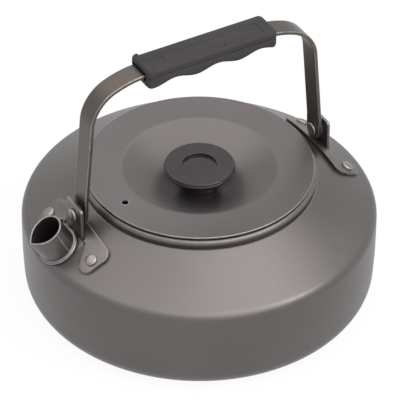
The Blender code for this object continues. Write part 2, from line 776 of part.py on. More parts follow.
def grip_stations():
    """Where the grip's sections lie along x: close together at its rounded ends and its collar."""
    quarter = [math.pi / 2 * index / END_POINTS for index in range(END_POINTS + 1)]
    end_steps = [GRIP_END_ROUND * (1 - math.cos(angle)) for angle in quarter]
    collar = GRIP_FRONT + GRIP_COLLAR
    low = collar + GRIP_COLLAR_SLANT
    high = GRIP_REAR - GRIP_END_ROUND
    middle = [low + (high - low) * index / LOBE_POINTS for index in range(LOBE_POINTS)]
    ends = [GRIP_FRONT + step for step in end_steps] + [GRIP_REAR - step for step in end_steps]
    return sorted(ends + [collar] + middle)


def grip_section(x):
    """Half width, top and bottom of the grip at one station."""
    half_width = GRIP_WIDTH / 2
    top = GRIP_TOP
    from_lobes = x - GRIP_SHIFT - LOBE_SHIFT - LOBE_PITCH / 2
    wave = math.cos(math.tau * from_lobes / LOBE_PITCH)
    bottom = LOBE_MIDDLE - LOBE_DEPTH / 2 * wave
    if x < GRIP_FRONT + GRIP_COLLAR + MERGE:
        half_width += GRIP_COLLAR_WIDEN
        top += GRIP_COLLAR_RAISE
    from_round = max(GRIP_END_ROUND - min(x - GRIP_FRONT, GRIP_REAR - x), 0)
    inset = GRIP_END_ROUND - math.sqrt(max(GRIP_END_ROUND ** 2 - from_round ** 2, 0))
    return half_width - inset, top - inset, bottom + inset


def grip_blank(name, group):
    """The whole outside of the grip, lofted through its rounded sections."""
    shape = bmesh.new()
    rows = []
    for x in grip_stations():
        half_width, top, bottom = grip_section(x)
        outline = rounded([
            (half_width, bottom, GRIP_EDGE),
            (half_width, top, GRIP_EDGE),
            (-half_width, top, GRIP_EDGE),
            (-half_width, bottom, GRIP_EDGE),
        ], closed=True, arc_step=COARSE_ARC)
        rows.append([shape.verts.new((x, y, z)) for y, z in outline])
    for row, after in zip(rows, rows[1:]):
        for index in range(len(row)):
            following = (index + 1) % len(row)
            shape.faces.new((row[index], row[following], after[following], after[index]))
    shape.faces.new(rows[0][::-1])
    shape.faces.new(rows[-1])
    bmesh.ops.recalc_face_normals(shape, faces=shape.faces)
    mesh = bpy.data.meshes.new(name)
    shape.to_mesh(mesh)
    shape.free()
    return place(name, mesh, group)


def grip_pockets(cutters):
    """Cutters for the pockets in the grip's ends, where the strap goes in."""
    half_width = STRAP_WIDTH / 2 + POCKET_MARGIN
    half_height = STRAP_THICKNESS / 2 + POCKET_MARGIN
    corner = Vector((POCKET_DEPTH, half_width, half_height))
    ends = ((1, GRIP_FRONT), (2, GRIP_REAR))
    frames = [Matrix.Translation((x, 0, STRAP_TOP)) for _, x in ends]
    return [block("grip_pocket_%d" % number, -corner, corner, cutters, frame)
            for (number, _), frame in zip(ends, frames)]


def make_grip(group, cutters):
    """The two moulded halves of the grip and the two pins that join them through the strap."""
    far = GRIP_LENGTH
    below = block("below_seam", (-far, -far, STRAP_TOP - far), (far, far, GRIP_SEAM), cutters)
    above = block("above_seam", (-far, -far, GRIP_SEAM - GAP), (far, far, STRAP_TOP + far), cutters)
    spare = 2 * GAP
    channel = strap_shape("strap_channel", cutters, STRAP_WIDTH + spare, STRAP_THICKNESS + spare)
    pockets = grip_pockets(cutters)
    pin_top = GRIP_TOP - PIN_COVER - GAP
    pin_bottom = GRIP_SEAM - PIN_DEPTH
    frames = [Matrix.Translation((x, 0, 0)) for x in pin_places()]
    hole_size = (PIN_RADIUS + HOLE_GAP, pin_bottom - GAP, pin_top + GAP)
    holes = [rod("pin_hole_%d" % number, *hole_size, cutters, frame, RIVET_STEPS)
             for number, frame in enumerate(frames, 1)]
    pieces = []
    for name, other_side in (("grip_upper", below), ("grip_lower", above)):
        half = grip_blank(name, group)
        for cutter in [other_side, channel] + pockets + holes:
            combine(half, cutter)
        pieces.append(complete(half, GRIP_RUBBER))
    for number, frame in enumerate(frames, 1):
        pin = rod("grip_pin_%d" % number, PIN_RADIUS, pin_bottom, pin_top, group, frame, RIVET_STEPS)
        pieces.append(complete(pin, SCREW_STEEL))
    return pieces


# Lid

def make_lid(group, cutters):
    """Pressed lid: a flat rim around a dish, with a vent hole and a hole for the knob's screw."""
    upper = [
        (0, DISH_FLOOR, 0),
        (DISH_FLOOR_RADIUS, DISH_FLOOR, DISH_FLOOR_BEND),
        (DISH_RADIUS, LID_TOP, DISH_RIM_BEND),
        (LID_RADIUS, LID_TOP, 0),
    ]
    lower = offset(upper, -LID_SHEET)
    upper[-1] = (LID_RADIUS - LID_EDGE, LID_TOP, 0)
    lower[-1] = (LID_RADIUS - LID_EDGE, LID_UNDERSIDE, 0)
    edge = [Vector((LID_RADIUS, LID_TOP - LID_EDGE)), Vector((LID_RADIUS, LID_UNDERSIDE + LID_EDGE))]
    profile = rounded(upper) + edge + list(reversed(rounded(lower, arc_step=COARSE_ARC)))
    lid = turned("lid", profile, group, BODY_STEPS)
    vent = Matrix.Rotation(VENT_ANGLE, 4, 'Z') @ Matrix.Translation((VENT_DISTANCE, 0, LID_UNDERSIDE))
    combine(lid, rod("vent_hole", VENT_RADIUS, -LID_SHEET, 2 * LID_SHEET, cutters, vent, RIVET_STEPS))
    centre = Matrix.Translation((0, 0, DISH_FLOOR))
    hole_size = (SCREW_HOLE_RADIUS, -2 * LID_SHEET, LID_SHEET)
    combine(lid, rod("screw_hole", *hole_size, cutters, centre, RIVET_STEPS))
    return complete(lid, ANODISED)


def make_lid_ring(group):
    """Ring under the lid's rim, which keeps the lid in the middle of the mouth."""
    top = LID_UNDERSIDE - GAP
    bottom = top - RING_DEPTH
    profile = [
        (RING_RADIUS - RING_SHEET - RING_FLANGE, top),
        (RING_RADIUS, top),
        (RING_RADIUS, bottom),
        (RING_RADIUS - RING_SHEET, bottom),
        (RING_RADIUS - RING_SHEET, top - RING_SHEET),
        (RING_RADIUS - RING_SHEET - RING_FLANGE, top - RING_SHEET),
    ]
    return complete(turned("lid_ring", profile, group, BODY_STEPS, closed=True), ANODISED)


def make_knob(group):
    """Moulded knob: a disc with a shallow recess, on a waisted neck with a bore for its insert."""
    disc_bottom = KNOB_TOP - KNOB_DISC
    neck_top = disc_bottom - KNOB_CONE
    recess = KNOB_TOP - KNOB_RECESS_DEPTH
    bore = INSERT_RADIUS + HOLE_GAP
    bore_top = KNOB_BOTTOM + INSERT_LENGTH + 2 * GAP
    profile = rounded([
        (0, recess, 0),
        (KNOB_RECESS_RADIUS - KNOB_RECESS_DEPTH / 2, recess, 0),
        (KNOB_RECESS_RADIUS, KNOB_TOP, 0),
        (KNOB_RADIUS, KNOB_TOP, KNOB_EDGE),
        (KNOB_RADIUS, disc_bottom, KNOB_EDGE),
        (KNOB_NECK_RADIUS, neck_top, KNOB_CONE),
        (KNOB_FOOT_RADIUS, KNOB_BOTTOM, 0),
        (bore, KNOB_BOTTOM, 0),
        (bore, bore_top, 0),
        (0, bore_top, 0),
    ])
    return complete(turned("lid_knob", profile, group, KNOB_STEPS), KNOB_PLASTIC)


def make_knob_fixing(group, cutters):
    """Brass insert in the knob, and the screw and washer that hold it from under the lid."""
    insert_low = KNOB_BOTTOM + GAP
    span = (insert_low, insert_low + INSERT_LENGTH)
    insert = ring("knob_insert", INSERT_RADIUS, SCREW_HOLE_RADIUS, *span, group, SMALL_STEPS)
    span = (KNOB_WASHER_TOP - KNOB_WASHER_THICKNESS, KNOB_WASHER_TOP)
    washer = ring("knob_washer", KNOB_WASHER_RADIUS, SCREW_HOLE_RADIUS, *span, group, SMALL_STEPS)
    head_low = SCREW_SEAT - SCREW_HEAD_HEIGHT
    head = dome(SCREW_HEAD_RADIUS, SCREW_SEAT - HEAD_RIM, HEAD_RIM - SCREW_HEAD_HEIGHT)
    shank = [
        (0, SCREW_SEAT + SCREW_LENGTH),
        (SCREW_RADIUS, SCREW_SEAT + SCREW_LENGTH),
        (SCREW_RADIUS, SCREW_SEAT),
        (SCREW_HEAD_RADIUS, SCREW_SEAT),
    ]
    screw = turned("knob_screw", shank + head[::-1], group, SMALL_STEPS)
    corner = Vector((SCREW_SLOT_LENGTH / 2, SCREW_SLOT_WIDTH / 2, SCREW_SLOT_DEPTH))
    for number in (1, 2):
        frame = Matrix.Translation((0, 0, head_low)) @ Matrix.Rotation(number * math.pi / 2, 4, 'Z')
        combine(screw, block("screw_slot_%d" % number, -corner, corner, cutters, frame))
    finishes = ((insert, BRASS), (washer, SCREW_STEEL), (screw, SCREW_STEEL))
    return [complete(item, finish) for item, finish in finishes]


def main():
    """Build the whole kettle."""
    clear_scene()
    group = collection("camping_kettle")
    cutters = collection("cutters")
    make_body(group, cutters)
    make_spout(group)
    make_collar(group, cutters)
    make_brackets(group, cutters)
    make_bracket_rivets(group)
    make_pivots(group)
    bail = [make_strap(group, cutters)] + make_grip(group, cutters)
    hang_on(empty_at("bail_axis", (0, 0, PIVOT_HEIGHT), group), bail)
    lid = [make_lid(group, cutters), make_lid_ring(group), make_knob(group)]
    lid += make_knob_fixing(group, cutters)
    hang_on(empty_at("lid_axis", (0, 0, LID_UNDERSIDE), group), lid)


main()
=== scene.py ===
"""Camping kettle: the fine shapes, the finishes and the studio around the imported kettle.

The kettle stands on z = 0 with its axis along z. Its spout points to -X, and the bail turns about an
axis along X. Lengths are in metres and angles in radians, and the camera's lens and sensor in millimetres.
"""

import math

import bmesh
import bpy
from bpy.props import FloatProperty, FloatVectorProperty, PointerProperty
from bpy.types import Operator, Panel, PropertyGroup
from mathutils import Matrix, Quaternion, Vector


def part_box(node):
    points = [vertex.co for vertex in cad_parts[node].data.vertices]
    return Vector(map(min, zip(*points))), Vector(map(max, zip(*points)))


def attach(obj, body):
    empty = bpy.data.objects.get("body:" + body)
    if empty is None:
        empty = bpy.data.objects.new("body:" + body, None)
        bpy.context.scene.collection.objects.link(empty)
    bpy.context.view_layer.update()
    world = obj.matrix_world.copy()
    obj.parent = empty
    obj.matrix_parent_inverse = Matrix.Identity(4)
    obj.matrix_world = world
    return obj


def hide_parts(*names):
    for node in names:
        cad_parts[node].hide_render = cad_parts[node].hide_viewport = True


bl_info = {
    "name": "Camping Kettle",
    "version": (1, 0, 0),
    "blender": (4, 5, 0),
    "location": "3D View > Sidebar > Kettle",
    "description": "Makes a camping kettle with a lift-off lid and a folding bail",
    "category": "Add Mesh",
}

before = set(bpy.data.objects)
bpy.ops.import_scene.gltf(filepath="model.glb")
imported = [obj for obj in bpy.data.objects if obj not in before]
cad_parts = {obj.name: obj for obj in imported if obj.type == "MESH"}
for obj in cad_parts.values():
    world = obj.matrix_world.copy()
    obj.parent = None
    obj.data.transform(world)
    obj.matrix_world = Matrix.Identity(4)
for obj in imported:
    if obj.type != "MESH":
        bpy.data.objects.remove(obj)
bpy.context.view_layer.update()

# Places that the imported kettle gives
BODY_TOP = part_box("kettle_body")[1].z
LID_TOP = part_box("lid")[1].z
LID_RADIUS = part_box("lid")[1].x
KNOB_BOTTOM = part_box("lid_knob")[0].z
KNOB_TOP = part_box("lid_knob")[1].z
KNOB_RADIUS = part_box("lid_knob")[1].x
STRAP_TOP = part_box("bail_strap")[1].z
STRAP_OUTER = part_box("bail_strap")[1].x
STRAP_WIDTH = 2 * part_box("bail_strap")[1].y
PIVOT_HEIGHT = sum(corner.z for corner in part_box("pivot_rivet_rear")) / 2
PIVOT_HEAD_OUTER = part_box("pivot_rivet_rear")[1].x
PIVOT_HEAD_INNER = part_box("pivot_rivet_rear")[0].x
PIVOT_HEAD_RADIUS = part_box("pivot_rivet_rear")[1].z - PIVOT_HEIGHT
GRIP_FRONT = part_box("grip_lower")[0].x
GRIP_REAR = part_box("grip_lower")[1].x

# Clearances: GAP between pieces that are seated, and HAIRLINE where they all but touch
GAP = 0.0003
HAIRLINE = 0.00005

# Body: its wall has a corner at half its height, WALL_BULGE further out and rounded to WALL_CURVE
BASE_RADIUS = 0.0884
WALL_BULGE = 0.00075
WALL_CURVE = 0.330
BASE_CORNER = 0.0110
SHOULDER_CORNER = 0.0066
BODY_WALL = 0.0011
BEAD_LEDGE = 0.00045
NECK_DEPTH = 0.0007
BEAD_SHIFT = 0.0006
BEAD_SINK = 0.0003
BEAD_LAST = math.radians(-38)
NECK_RISE = 0.0004

# Spout: a higher LIP_POWER makes its lip blunter, and a higher SPOUT_EASE keeps the tube round for longer
SPOUT_INNER_LENGTH = 0.0050
SPOUT_FLARE = 0.0007
SPOUT_RIM_EDGE = 0.00028
MOUTH_HALF_WIDTH = 0.0077
MOUTH_CENTRE = -0.0026
MOUTH_REACH = 0.0115
MOUTH_TILT = 0.074
LIP_POWER = 2.4
SPOUT_EASE = 1.3
SEAM_ANGLE = math.radians(104)
SEAM_WIDTH = 0.0011
SEAM_HEIGHT = 0.00030
SEAM_SINK = 0.0003
COLLAR_WALL = 0.0014
COLLAR_SLOPE = 0.0005
COLLAR_OUTER_EDGE = 0.0006

# Brackets
EAR_CORNER = 0.0020
EAR_EDGE = 0.00025
PLATE_INSET = 0.0049
PLATE_EDGE = 0.00030
WING_REACH = 0.0082
WING_WIDTH = 0.0094
WING_SLANT = 0.0065
WING_CORNER = 0.0040
WING_OUTER_CORNER = 0.0048
WING_TAPER = 0.0022
NOTCH_WIDTH = 0.0013
NOTCH_DEPTH = 0.0014

# Rivets: a lower HEAD_FLATNESS makes their heads flatter
RIVET_SHANK_RADIUS = 0.0015
RIVET_TAIL_RADIUS = 0.0025
RIVET_TAIL_HEIGHT = 0.0010
RIVET_FROM_EAR = 0.0027
RIVET_FROM_WING_END = 0.0062
PIVOT_SHANK_RADIUS = 0.0020
HEAD_RIM = 0.00035
HEAD_FLATNESS = 0.62

# Strap: BAIL_TILT is how steeply its top falls to the rear, which it reaches TILT_RISE above its uprights
STRAP_EDGE = 0.00045
STRAP_END_RADIUS = 0.0053
STRAP_END_ARC = math.radians(84)
BAIL_CORNER_DROP = 0.0083
BAIL_SLOPE = math.radians(21.7)
BAIL_LEAN = math.radians(4.8)
BAIL_UPRIGHT = 0.0072
BAIL_UPPER_BEND = 0.0490
BAIL_CORNER_BEND = 0.0210
BAIL_FOOT_BEND = 0.0200
BAIL_TILT = 0.016
TILT_RISE = 0.058

# Grip
GRIP_COVER = 0.0028
GRIP_COVER_DEPTH = 0.0037
GRIP_EDGE = 0.0018
GRIP_EDGE_SHARE = 0.7
GRIP_SEAM_EDGE = 0.00018
GRIP_COVER_ROUND = 0.0020
GRIP_PLAN_ROUND = 0.0028
GRIP_BOTTOM_ROUND = 0.0030
GRIP_COLLAR = 0.0034
GRIP_COLLAR_SLANT = 0.0008
GRIP_COLLAR_RAISE = 0.0010
GRIP_COLLAR_WIDEN = 0.0004
LOBE_DEPTH = 0.0024
LOBE_PITCH = 0.0241
LOBE_SHIFT = 0.0032
LOBE_BOTTOM = 0.0070
POCKET_DEPTH = 0.0024
POCKET_MARGIN = 0.0009
POCKET_RISE = 0.0014

# Moulding marks on the grip: each line is given as the x and y of its middle and its length along x and y
MARK_WIDTH = 0.0005
MARK_DEPTH = 0.0002
GRIP_LINES = ((-0.0214, -0.0007, 0, 0.0030), (0.0326, -0.0018, 0, 0.0092), (0.0312, 0.0026, 0.0028, 0))
GRIP_DOT = (0.0102, -0.0061, 0)

# Lid and knob
LID_EDGE = 0.0004
DISH_FLOOR_RADIUS = 0.0125
DISH_RIM_BEND = 0.0050
DISH_FLOOR_BEND = 0.0120
VENT_MARGIN = 0.0028
KNOB_DISC = 0.0026
KNOB_CONE = 0.0030
KNOB_NECK_RADIUS = 0.0086
KNOB_FOOT_RADIUS = 0.0096
KNOB_RECESS_RADIUS = 0.0086
KNOB_RECESS_DEPTH = 0.0014
KNOB_RECESS_SLOPE = 0.0001
KNOB_RECESS_EDGE = 0.00025
KNOB_EDGE = 0.0008
KNOB_GROOVE_WIDTH = 0.0007
KNOB_GROOVE_DEPTH = 0.0004
KNOB_GROOVE_LEVEL = 0.45
KNOB_BORE = 0.0039
KNOB_BORE_DEPTH = 0.0086
SCREW_HOLE_RADIUS = 0.0020

# Fineness of the round shapes
BODY_STEPS = 224
KNOB_STEPS = 128
COLLAR_STEPS = 128
HEAD_STEPS = 48
SPOUT_COLUMNS = 112
SPOUT_ROWS = 20
SEAM_POINTS = 24
RIM_SEGMENTS = 2
BEAD_POINTS = 24
DOME_POINTS = 10
END_POINTS = 7
EAR_EDGE_POINTS = 2
PLATE_COLUMNS = 10
PLATE_STEP = 0.0012
PLATE_EDGE_PARTS = (0, 0.3, 1)
STRAP_END_POINTS = 14
STRAP_ARC = math.radians(3)
GRIP_STEP = 0.0007
COVER_COLUMNS = 16
FINE_ARC = math.radians(6)
CORNER_ARC = math.radians(18)
ARC_SLACK = 0.01
SHARP_ANGLE = math.radians(40)
SQUARE_ANGLE = math.radians(60)
MERGE = 0.00001
SLIVER = 0.000002

# Wear and painted light: edge wear with a painted highlight on outer edges, and painted shade in inner
# corners, are full where an edge is rounded by WEAR_AND_PAINTED_LIGHT_RADIUS or less, and fade over GUARD
# beside it
GUARD = 0.00035
GUARDED_LENGTH = 3 * GUARD
WEAR_AND_PAINTED_LIGHT_RADIUS = 0.0007

# Noise mostly lies between these two values
NOISE_LOW = 0.35
NOISE_HIGH = 0.65

# Camera and studio
CAMERA_PLACE = Vector((-0.7487, -1.2507, 1.2093))
CAMERA_AZIMUTH = math.radians(-30.92)
CAMERA_ELEVATION = math.radians(38.51)
CAMERA_ROLL = math.radians(0.43)
CAMERA_LENS = 332
CAMERA_SENSOR = 36
FLOOR_SIZE = 3.0
FLOOR_SQUARES = 8
FLOOR_DROP = 0.0002
FLOOR_GLOW = 0.93
WHITE = (1, 1, 1, 1)
CEILING_PLACE = (0.0, 0.0, 1.30)
CEILING_SIZE = 2.50
KEY_PLACE = (0.06, -0.88, 0.95)
KEY_SIZE = 1.20
GLINT_PLACE = (0.50, -0.75, 0.72)
GLINT_SIZE = 0.25
LAMP_COLOUR = (1.0, 0.98, 0.95)
AIM = Vector((0, 0, 0.05))


# Values that a user may change

def length(label, text, default):
    """A property that holds a length."""
    return FloatProperty(name=label, description=text, default=default, min=0, precision=4,
                         unit='LENGTH', subtype='DISTANCE')


def angle(label, text, default):
    """A property that holds an angle."""
    return FloatProperty(name=label, description=text, default=default, unit='ROTATION', subtype='ANGLE')


def colour(label, text, default):
    """A property that holds a colour."""
    return FloatVectorProperty(name=label, description=text, default=default, size=3, min=0, max=1,
                               subtype='COLOR')


def light_level(label, text, default):
    """A property that holds the strength of the light from all around."""
    return FloatProperty(name=label, description=text, default=default, min=0, max=4, subtype='FACTOR')


def lamp_power(label, text, default):
    """A property that holds a lamp's power."""
    return FloatProperty(name=label, description=text, default=default, min=0, unit='POWER')


class KettleSizes(PropertyGroup):
    """Sizes of the kettle's pieces."""

    body_radius: length("Body radius", "Radius of the body at its shoulder", 0.0898)
    shoulder_height: length("Shoulder height", "Height of the edge between wall and shoulder", 0.0464)
    shoulder_slope: angle("Shoulder slope", "How steeply the shoulder rises", math.radians(32.2))
    bead_radius: length("Bead radius", "Outer radius of the rolled bead around the mouth", 0.0586)
    bead_thickness: length("Bead thickness", "Diameter of the bead's roll", 0.0040)
    spout_setback: length("Spout setback", "Distance of the spout's root from the body's edge", 0.0092)
    spout_elevation: angle("Spout elevation", "Angle of the spout above level", math.radians(54.9))
    spout_radius: length("Spout radius", "Radius of the spout at its root", 0.0093)
    spout_length: length("Spout length", "Length of the spout outside the shoulder", 0.0157)
    spout_wall: length("Spout wall", "Thickness of the spout's wall", 0.0009)
    collar_height: length("Collar height", "Height of the collar at the spout's root", 0.0021)
    ear_standoff: length("Ear standoff", "Distance of a bracket's ear from the bead", 0.0123)
    ear_thickness: length("Ear thickness", "Thickness of a bracket's ear", 0.0015)
    ear_width: length("Ear width", "Width of a bracket's ear", 0.0156)
    ear_rise: length("Ear rise", "Height of a bracket's ear above the pivot", 0.0068)
    plate_thickness: length("Plate thickness", "Thickness of a bracket's wings", 0.0014)
    wing_span: length("Wing span", "Length of a bracket from wing to wing", 0.0548)
    rivet_radius: length("Rivet radius", "Radius of a bracket rivet's head", 0.0031)
    rivet_height: length("Rivet height", "Height of a bracket rivet's head", 0.0015)
    strap_thickness: length("Strap thickness", "Thickness of the bail's strap", 0.0020)
    grip_width: length("Grip width", "Width of the grip", 0.0170)
    dish_radius: length("Dish radius", "Radius of the lid's dish", 0.0391)
    dish_depth: length("Dish depth", "Depth of the lid's dish", 0.0115)
    lid_sheet: length("Lid sheet", "Thickness of the lid", 0.0010)
    vent_radius: length("Vent radius", "Radius of the lid's vent hole", 0.0017)
    vent_distance: length("Vent distance", "Distance of the vent hole from the middle", 0.0475)
    vent_angle: angle("Vent angle", "Direction of the vent hole", math.radians(188.5))


class KettleFinishes(PropertyGroup):
    """Colours of the kettle's finishes and strength of its lights."""

    anodised: colour("Anodised aluminium", "Colour of body, spout and lid", (0.128, 0.1173, 0.1174))
    bracket: colour("Bracket steel", "Colour of the brackets", (0.158, 0.145, 0.138))
    rivet: colour("Rivet metal", "Colour of the rivet heads", (0.245, 0.227, 0.220))
    strap: colour("Strap steel", "Colour of the bail's strap", (0.104, 0.091, 0.082))
    grip: colour("Grip plastic", "Colour of the grip", (0.037, 0.034, 0.0355))
    knob: colour("Knob plastic", "Colour of the knob", (0.0095, 0.0062, 0.0085))
    nylon: colour("Nylon", "Colour of the pivot washers", (0.035, 0.035, 0.036))
    brass: colour("Brass", "Colour of the knob's insert", (0.640, 0.470, 0.210))
    stainless: colour("Stainless steel", "Colour of screw, washer and pins", (0.560, 0.550, 0.540))
    floor: colour("Floor", "Colour of the floor", (0.860, 0.860, 0.860))
    sky_light: light_level("Sky light", "Strength of the light from all around", 0.45)
    ceiling_power: lamp_power("Ceiling light", "Power of the wide light overhead", 24.0)
    key_power: lamp_power("Key light", "Power of the light above the front", 7.4)
    glint_power: lamp_power("Glint light", "Power of the small light at the front", 2.4)


# Outlines

def round_corner(before, corner, after, radius, arc_step):
    """Points along the arc that rounds off one corner."""
    if radius <= 0:
        return [corner]
    to_before = (before - corner).normalized()
    to_after = (after - corner).normalized()
    half_angle = to_before.angle(to_after) / 2
    centre = corner + (to_before + to_after).normalized() * radius / math.sin(half_angle)
    start = corner + to_before * radius / math.tan(half_angle) - centre
    end = corner + to_after * radius / math.tan(half_angle) - centre
    first = math.atan2(start.y, start.x)
    sweep = (math.atan2(end.y, end.x) - first + math.pi) % math.tau - math.pi
    count = max(2, math.ceil(abs(sweep) / arc_step - ARC_SLACK))
    angles = [first + sweep * index / count for index in range(count + 1)]
    return [centre + Vector((math.cos(turn), math.sin(turn))) * radius for turn in angles]


def rounded(corners, closed=False, arc_step=FINE_ARC):
    """Turn corners, each (first, second, radius), into an outline with its corners rounded off."""
    points = [Vector(corner[:2]) for corner in corners]
    outline = []
    for index, point in enumerate(points):
        is_end = index in (0, len(points) - 1)
        if is_end and not closed:
            outline.append(point)
            continue
        after = points[(index + 1) % len(points)]
        outline.extend(round_corner(points[index - 1], point, after, corners[index][2], arc_step))
    return outline


def guarded(outline, closed=False):
    """Add points close to both ends of each long stretch, so that edge wear, painted highlight and painted
    shade stay at the edges.
    """
    result = []
    pairs = list(zip(outline, outline[1:]))
    if closed:
        pairs.append((outline[-1], outline[0]))
    for point, after in pairs:
        result.append(point)
        stretch = after - point
        if stretch.length > GUARDED_LENGTH:
            step = stretch.normalized() * GUARD
            result += [point + step, after - step]
    return result if closed else result + [outline[-1]]


def offset(corners, distance):
    """Move an open outline sideways by a distance, to the left of its direction of travel."""
    points = [Vector(corner[:2]) for corner in corners]
    steps = [after - before for before, after in zip(points, points[1:])]
    normals = [Vector((-step.y, step.x)).normalized() for step in steps]
    first = points[0] + normals[0] * distance
    moved = [(first.x, first.y, 0)]
    for index in range(1, len(points) - 1):
        mitre = (normals[index - 1] + normals[index]).normalized()
        point = points[index] + mitre * distance / mitre.dot(normals[index])
        turn = math.copysign(1, steps[index - 1].cross(steps[index]))
        radius = corners[index][2]
        moved.append((point.x, point.y, max(radius - turn * distance, 0) if radius else 0))
    last = points[-1] + normals[-1] * distance
    moved.append((last.x, last.y, 0))
    return moved


def arc(centre, radius, start, end, count):
    """Points on an arc, from one angle to another."""
    angles = [start + (end - start) * index / count for index in range(count + 1)]
    return [Vector((centre[0] + radius * math.cos(turn), centre[1] + radius * math.sin(turn)))
            for turn in angles]


def dome(radius, base, height):
    """Profile of a flat-topped rivet head, from its middle to its rim. A negative height hangs it."""
    angles = [math.pi / 2 * index / DOME_POINTS for index in range(DOME_POINTS)]
    points = [Vector((radius * math.sin(turn), base + height * math.cos(turn) ** HEAD_FLATNESS))
              for turn in angles]
    return points + [Vector((radius, base))]


def mirrored_loop(half):
    """Close an outline that is given for y > 0 only, by adding its mirror image."""
    return half + [(x, -y, radius) for x, y, radius in reversed(half)]


# Building blocks

def collection(name):
    """The named collection in the scene, made once."""
    group = bpy.data.collections.get(name)
    if not group:
        group = bpy.data.collections.new(name)
        bpy.context.scene.collection.children.link(group)
    return group


def place(name, mesh, place_frame=None):
    """Put a mesh into the scene as an object, in a frame of its own if one is given."""
    item = bpy.data.objects.new(name, mesh)
    collection("camping_kettle").objects.link(item)
    if place_frame:
        item.matrix_world = place_frame
    return item


def turned(name, profile, steps, place_frame=None, closed=False):
    """Turn a profile of (radius, height) points about z. The profile runs down the outer side."""
    edges = [(index, index + 1) for index in range(len(profile) - 1)]
    if closed:
        edges.append((len(profile) - 1, 0))
    mesh = bpy.data.meshes.new(name)
    mesh.from_pydata([(point[0], 0, point[1]) for point in profile], edges, [])
    item = place(name, mesh, place_frame)
    turn = item.modifiers.new("Turn", 'SCREW')
    turn.axis = 'Z'
    turn.angle = math.tau
    turn.steps = steps
    turn.render_steps = steps
    turn.use_merge_vertices = True
    turn.merge_threshold = MERGE
    return item


def rod(name, radius, low, high, place_frame=None):
    """A plain round rod along z, to cut a hole with."""
    return turned(name, [(0, high), (radius, high), (radius, low), (0, low)], HEAD_STEPS, place_frame)


def block(name, lowest, highest, place_frame=None):
    """A box between two corners, to cut with."""
    centre = (Vector(lowest) + Vector(highest)) / 2
    size = Vector(highest) - Vector(lowest)
    shape = bmesh.new()
    bmesh.ops.create_cube(shape, size=1, matrix=Matrix.Translation(centre) @ Matrix.Diagonal((*size, 1)))
    return place(name, mesh_from(shape, name), place_frame)


def mesh_from(shape, name):
    """Turn a bmesh into a mesh and free it."""
    bmesh.ops.recalc_face_normals(shape, faces=shape.faces)
    mesh = bpy.data.meshes.new(name)
    shape.to_mesh(mesh)
    shape.free()
    return mesh


def lofted(name, rows, place_frame=None, capped=True):
    """Join rows of points, each a closed loop of the same number of points, into one skin."""
    shape = bmesh.new()
    made = [[shape.verts.new(point) for point in row] for row in rows]
    for row, after in zip(made, made[1:]):
        for index in range(len(row)):
            following = (index + 1) % len(row)
            shape.faces.new((row[index], row[following], after[following], after[index]))
    if capped:
        shape.faces.new(made[0][::-1])
        shape.faces.new(made[-1])
    return place(name, mesh_from(shape, name), place_frame)


def evaluated_mesh(item):
    """A new mesh of an object as its modifiers shape it."""
    bpy.context.view_layer.update()
    graph = bpy.context.evaluated_depsgraph_get()
    return bpy.data.meshes.new_from_object(item.evaluated_get(graph))


def settle(item):
    """Fix an object's modifiers into its mesh."""
    mesh = evaluated_mesh(item)
    item.modifiers.clear()
    item.data = mesh
    return item


def combine(item, other, operation='DIFFERENCE'):
    """Cut an object with another, which is used up, or join the two."""
    step = item.modifiers.new(operation.capitalize(), 'BOOLEAN')
    step.operation = operation
    step.solver = 'EXACT'
    step.object = other
    settle(item)
    bpy.data.objects.remove(other)
    return item


def soften(item, width):
    """Round off the square edges of an object."""
    edge = item.modifiers.new("Edges", 'BEVEL')
    edge.width = width
    edge.segments = RIM_SEGMENTS
    edge.limit_method = 'ANGLE'
    edge.angle_limit = SQUARE_ANGLE
    edge.use_clamp_overlap = False
    return settle(item)


def mark_wear_and_painted_light(mesh):
    """Store how tightly each point is bent: 1 on a tight outer edge, -1 in a tight inner corner. The
    finishes paint a highlight along with wear where it is high, and paint shade where it is low.
    """
    shape = bmesh.new()
    shape.from_mesh(mesh)
    middles = {face: face.calc_center_median() for face in shape.faces}
    bends = []
    for vertex in shape.verts:
        bend = 0
        for edge in vertex.link_edges:
            if len(edge.link_faces) == 2:
                first, second = edge.link_faces
                spread = max((middles[first] - middles[second]).length, MERGE)
                value = edge.calc_face_angle_signed(0) / spread
                bend = max(bend, value, key=abs)
        bends.append(max(-1, min(1, bend * WEAR_AND_PAINTED_LIGHT_RADIUS)))
    shape.free()
    stored = mesh.attributes.new("wear_and_painted_light", 'FLOAT', 'POINT')
    stored.data.foreach_set("value", bends)


def drop_slivers(mesh):
    """Split the many-sided faces that a cut leaves, and close up those without any width."""
    shape = bmesh.new()
    shape.from_mesh(mesh)
    wide = [face for face in shape.faces if len(face.verts) > 4]
    bmesh.ops.triangulate(shape, faces=wide, ngon_method='BEAUTY')
    bmesh.ops.dissolve_degenerate(shape, dist=SLIVER, edges=shape.edges)
    shape.to_mesh(mesh)
    shape.free()


def dress(item, surface, slot, body, *nodes):
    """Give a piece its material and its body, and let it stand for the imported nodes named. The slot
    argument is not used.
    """
    settle(item)
    mesh = item.data
    mesh.shade_smooth()
    mesh.set_sharp_from_angle(angle=SHARP_ANGLE)
    # The stored bends paint highlights on worn edges and shade in inner corners
    mark_wear_and_painted_light(mesh)
    drop_slivers(mesh)
    mesh.materials.clear()
    mesh.materials.append(surface)
    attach(item, body)
    if nodes:
        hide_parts(*nodes)
    return item


def finish_node(name, surface):
    """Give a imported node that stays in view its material."""
    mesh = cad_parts[name].data
    mesh.materials.clear()
    mesh.materials.append(surface)


# Materials

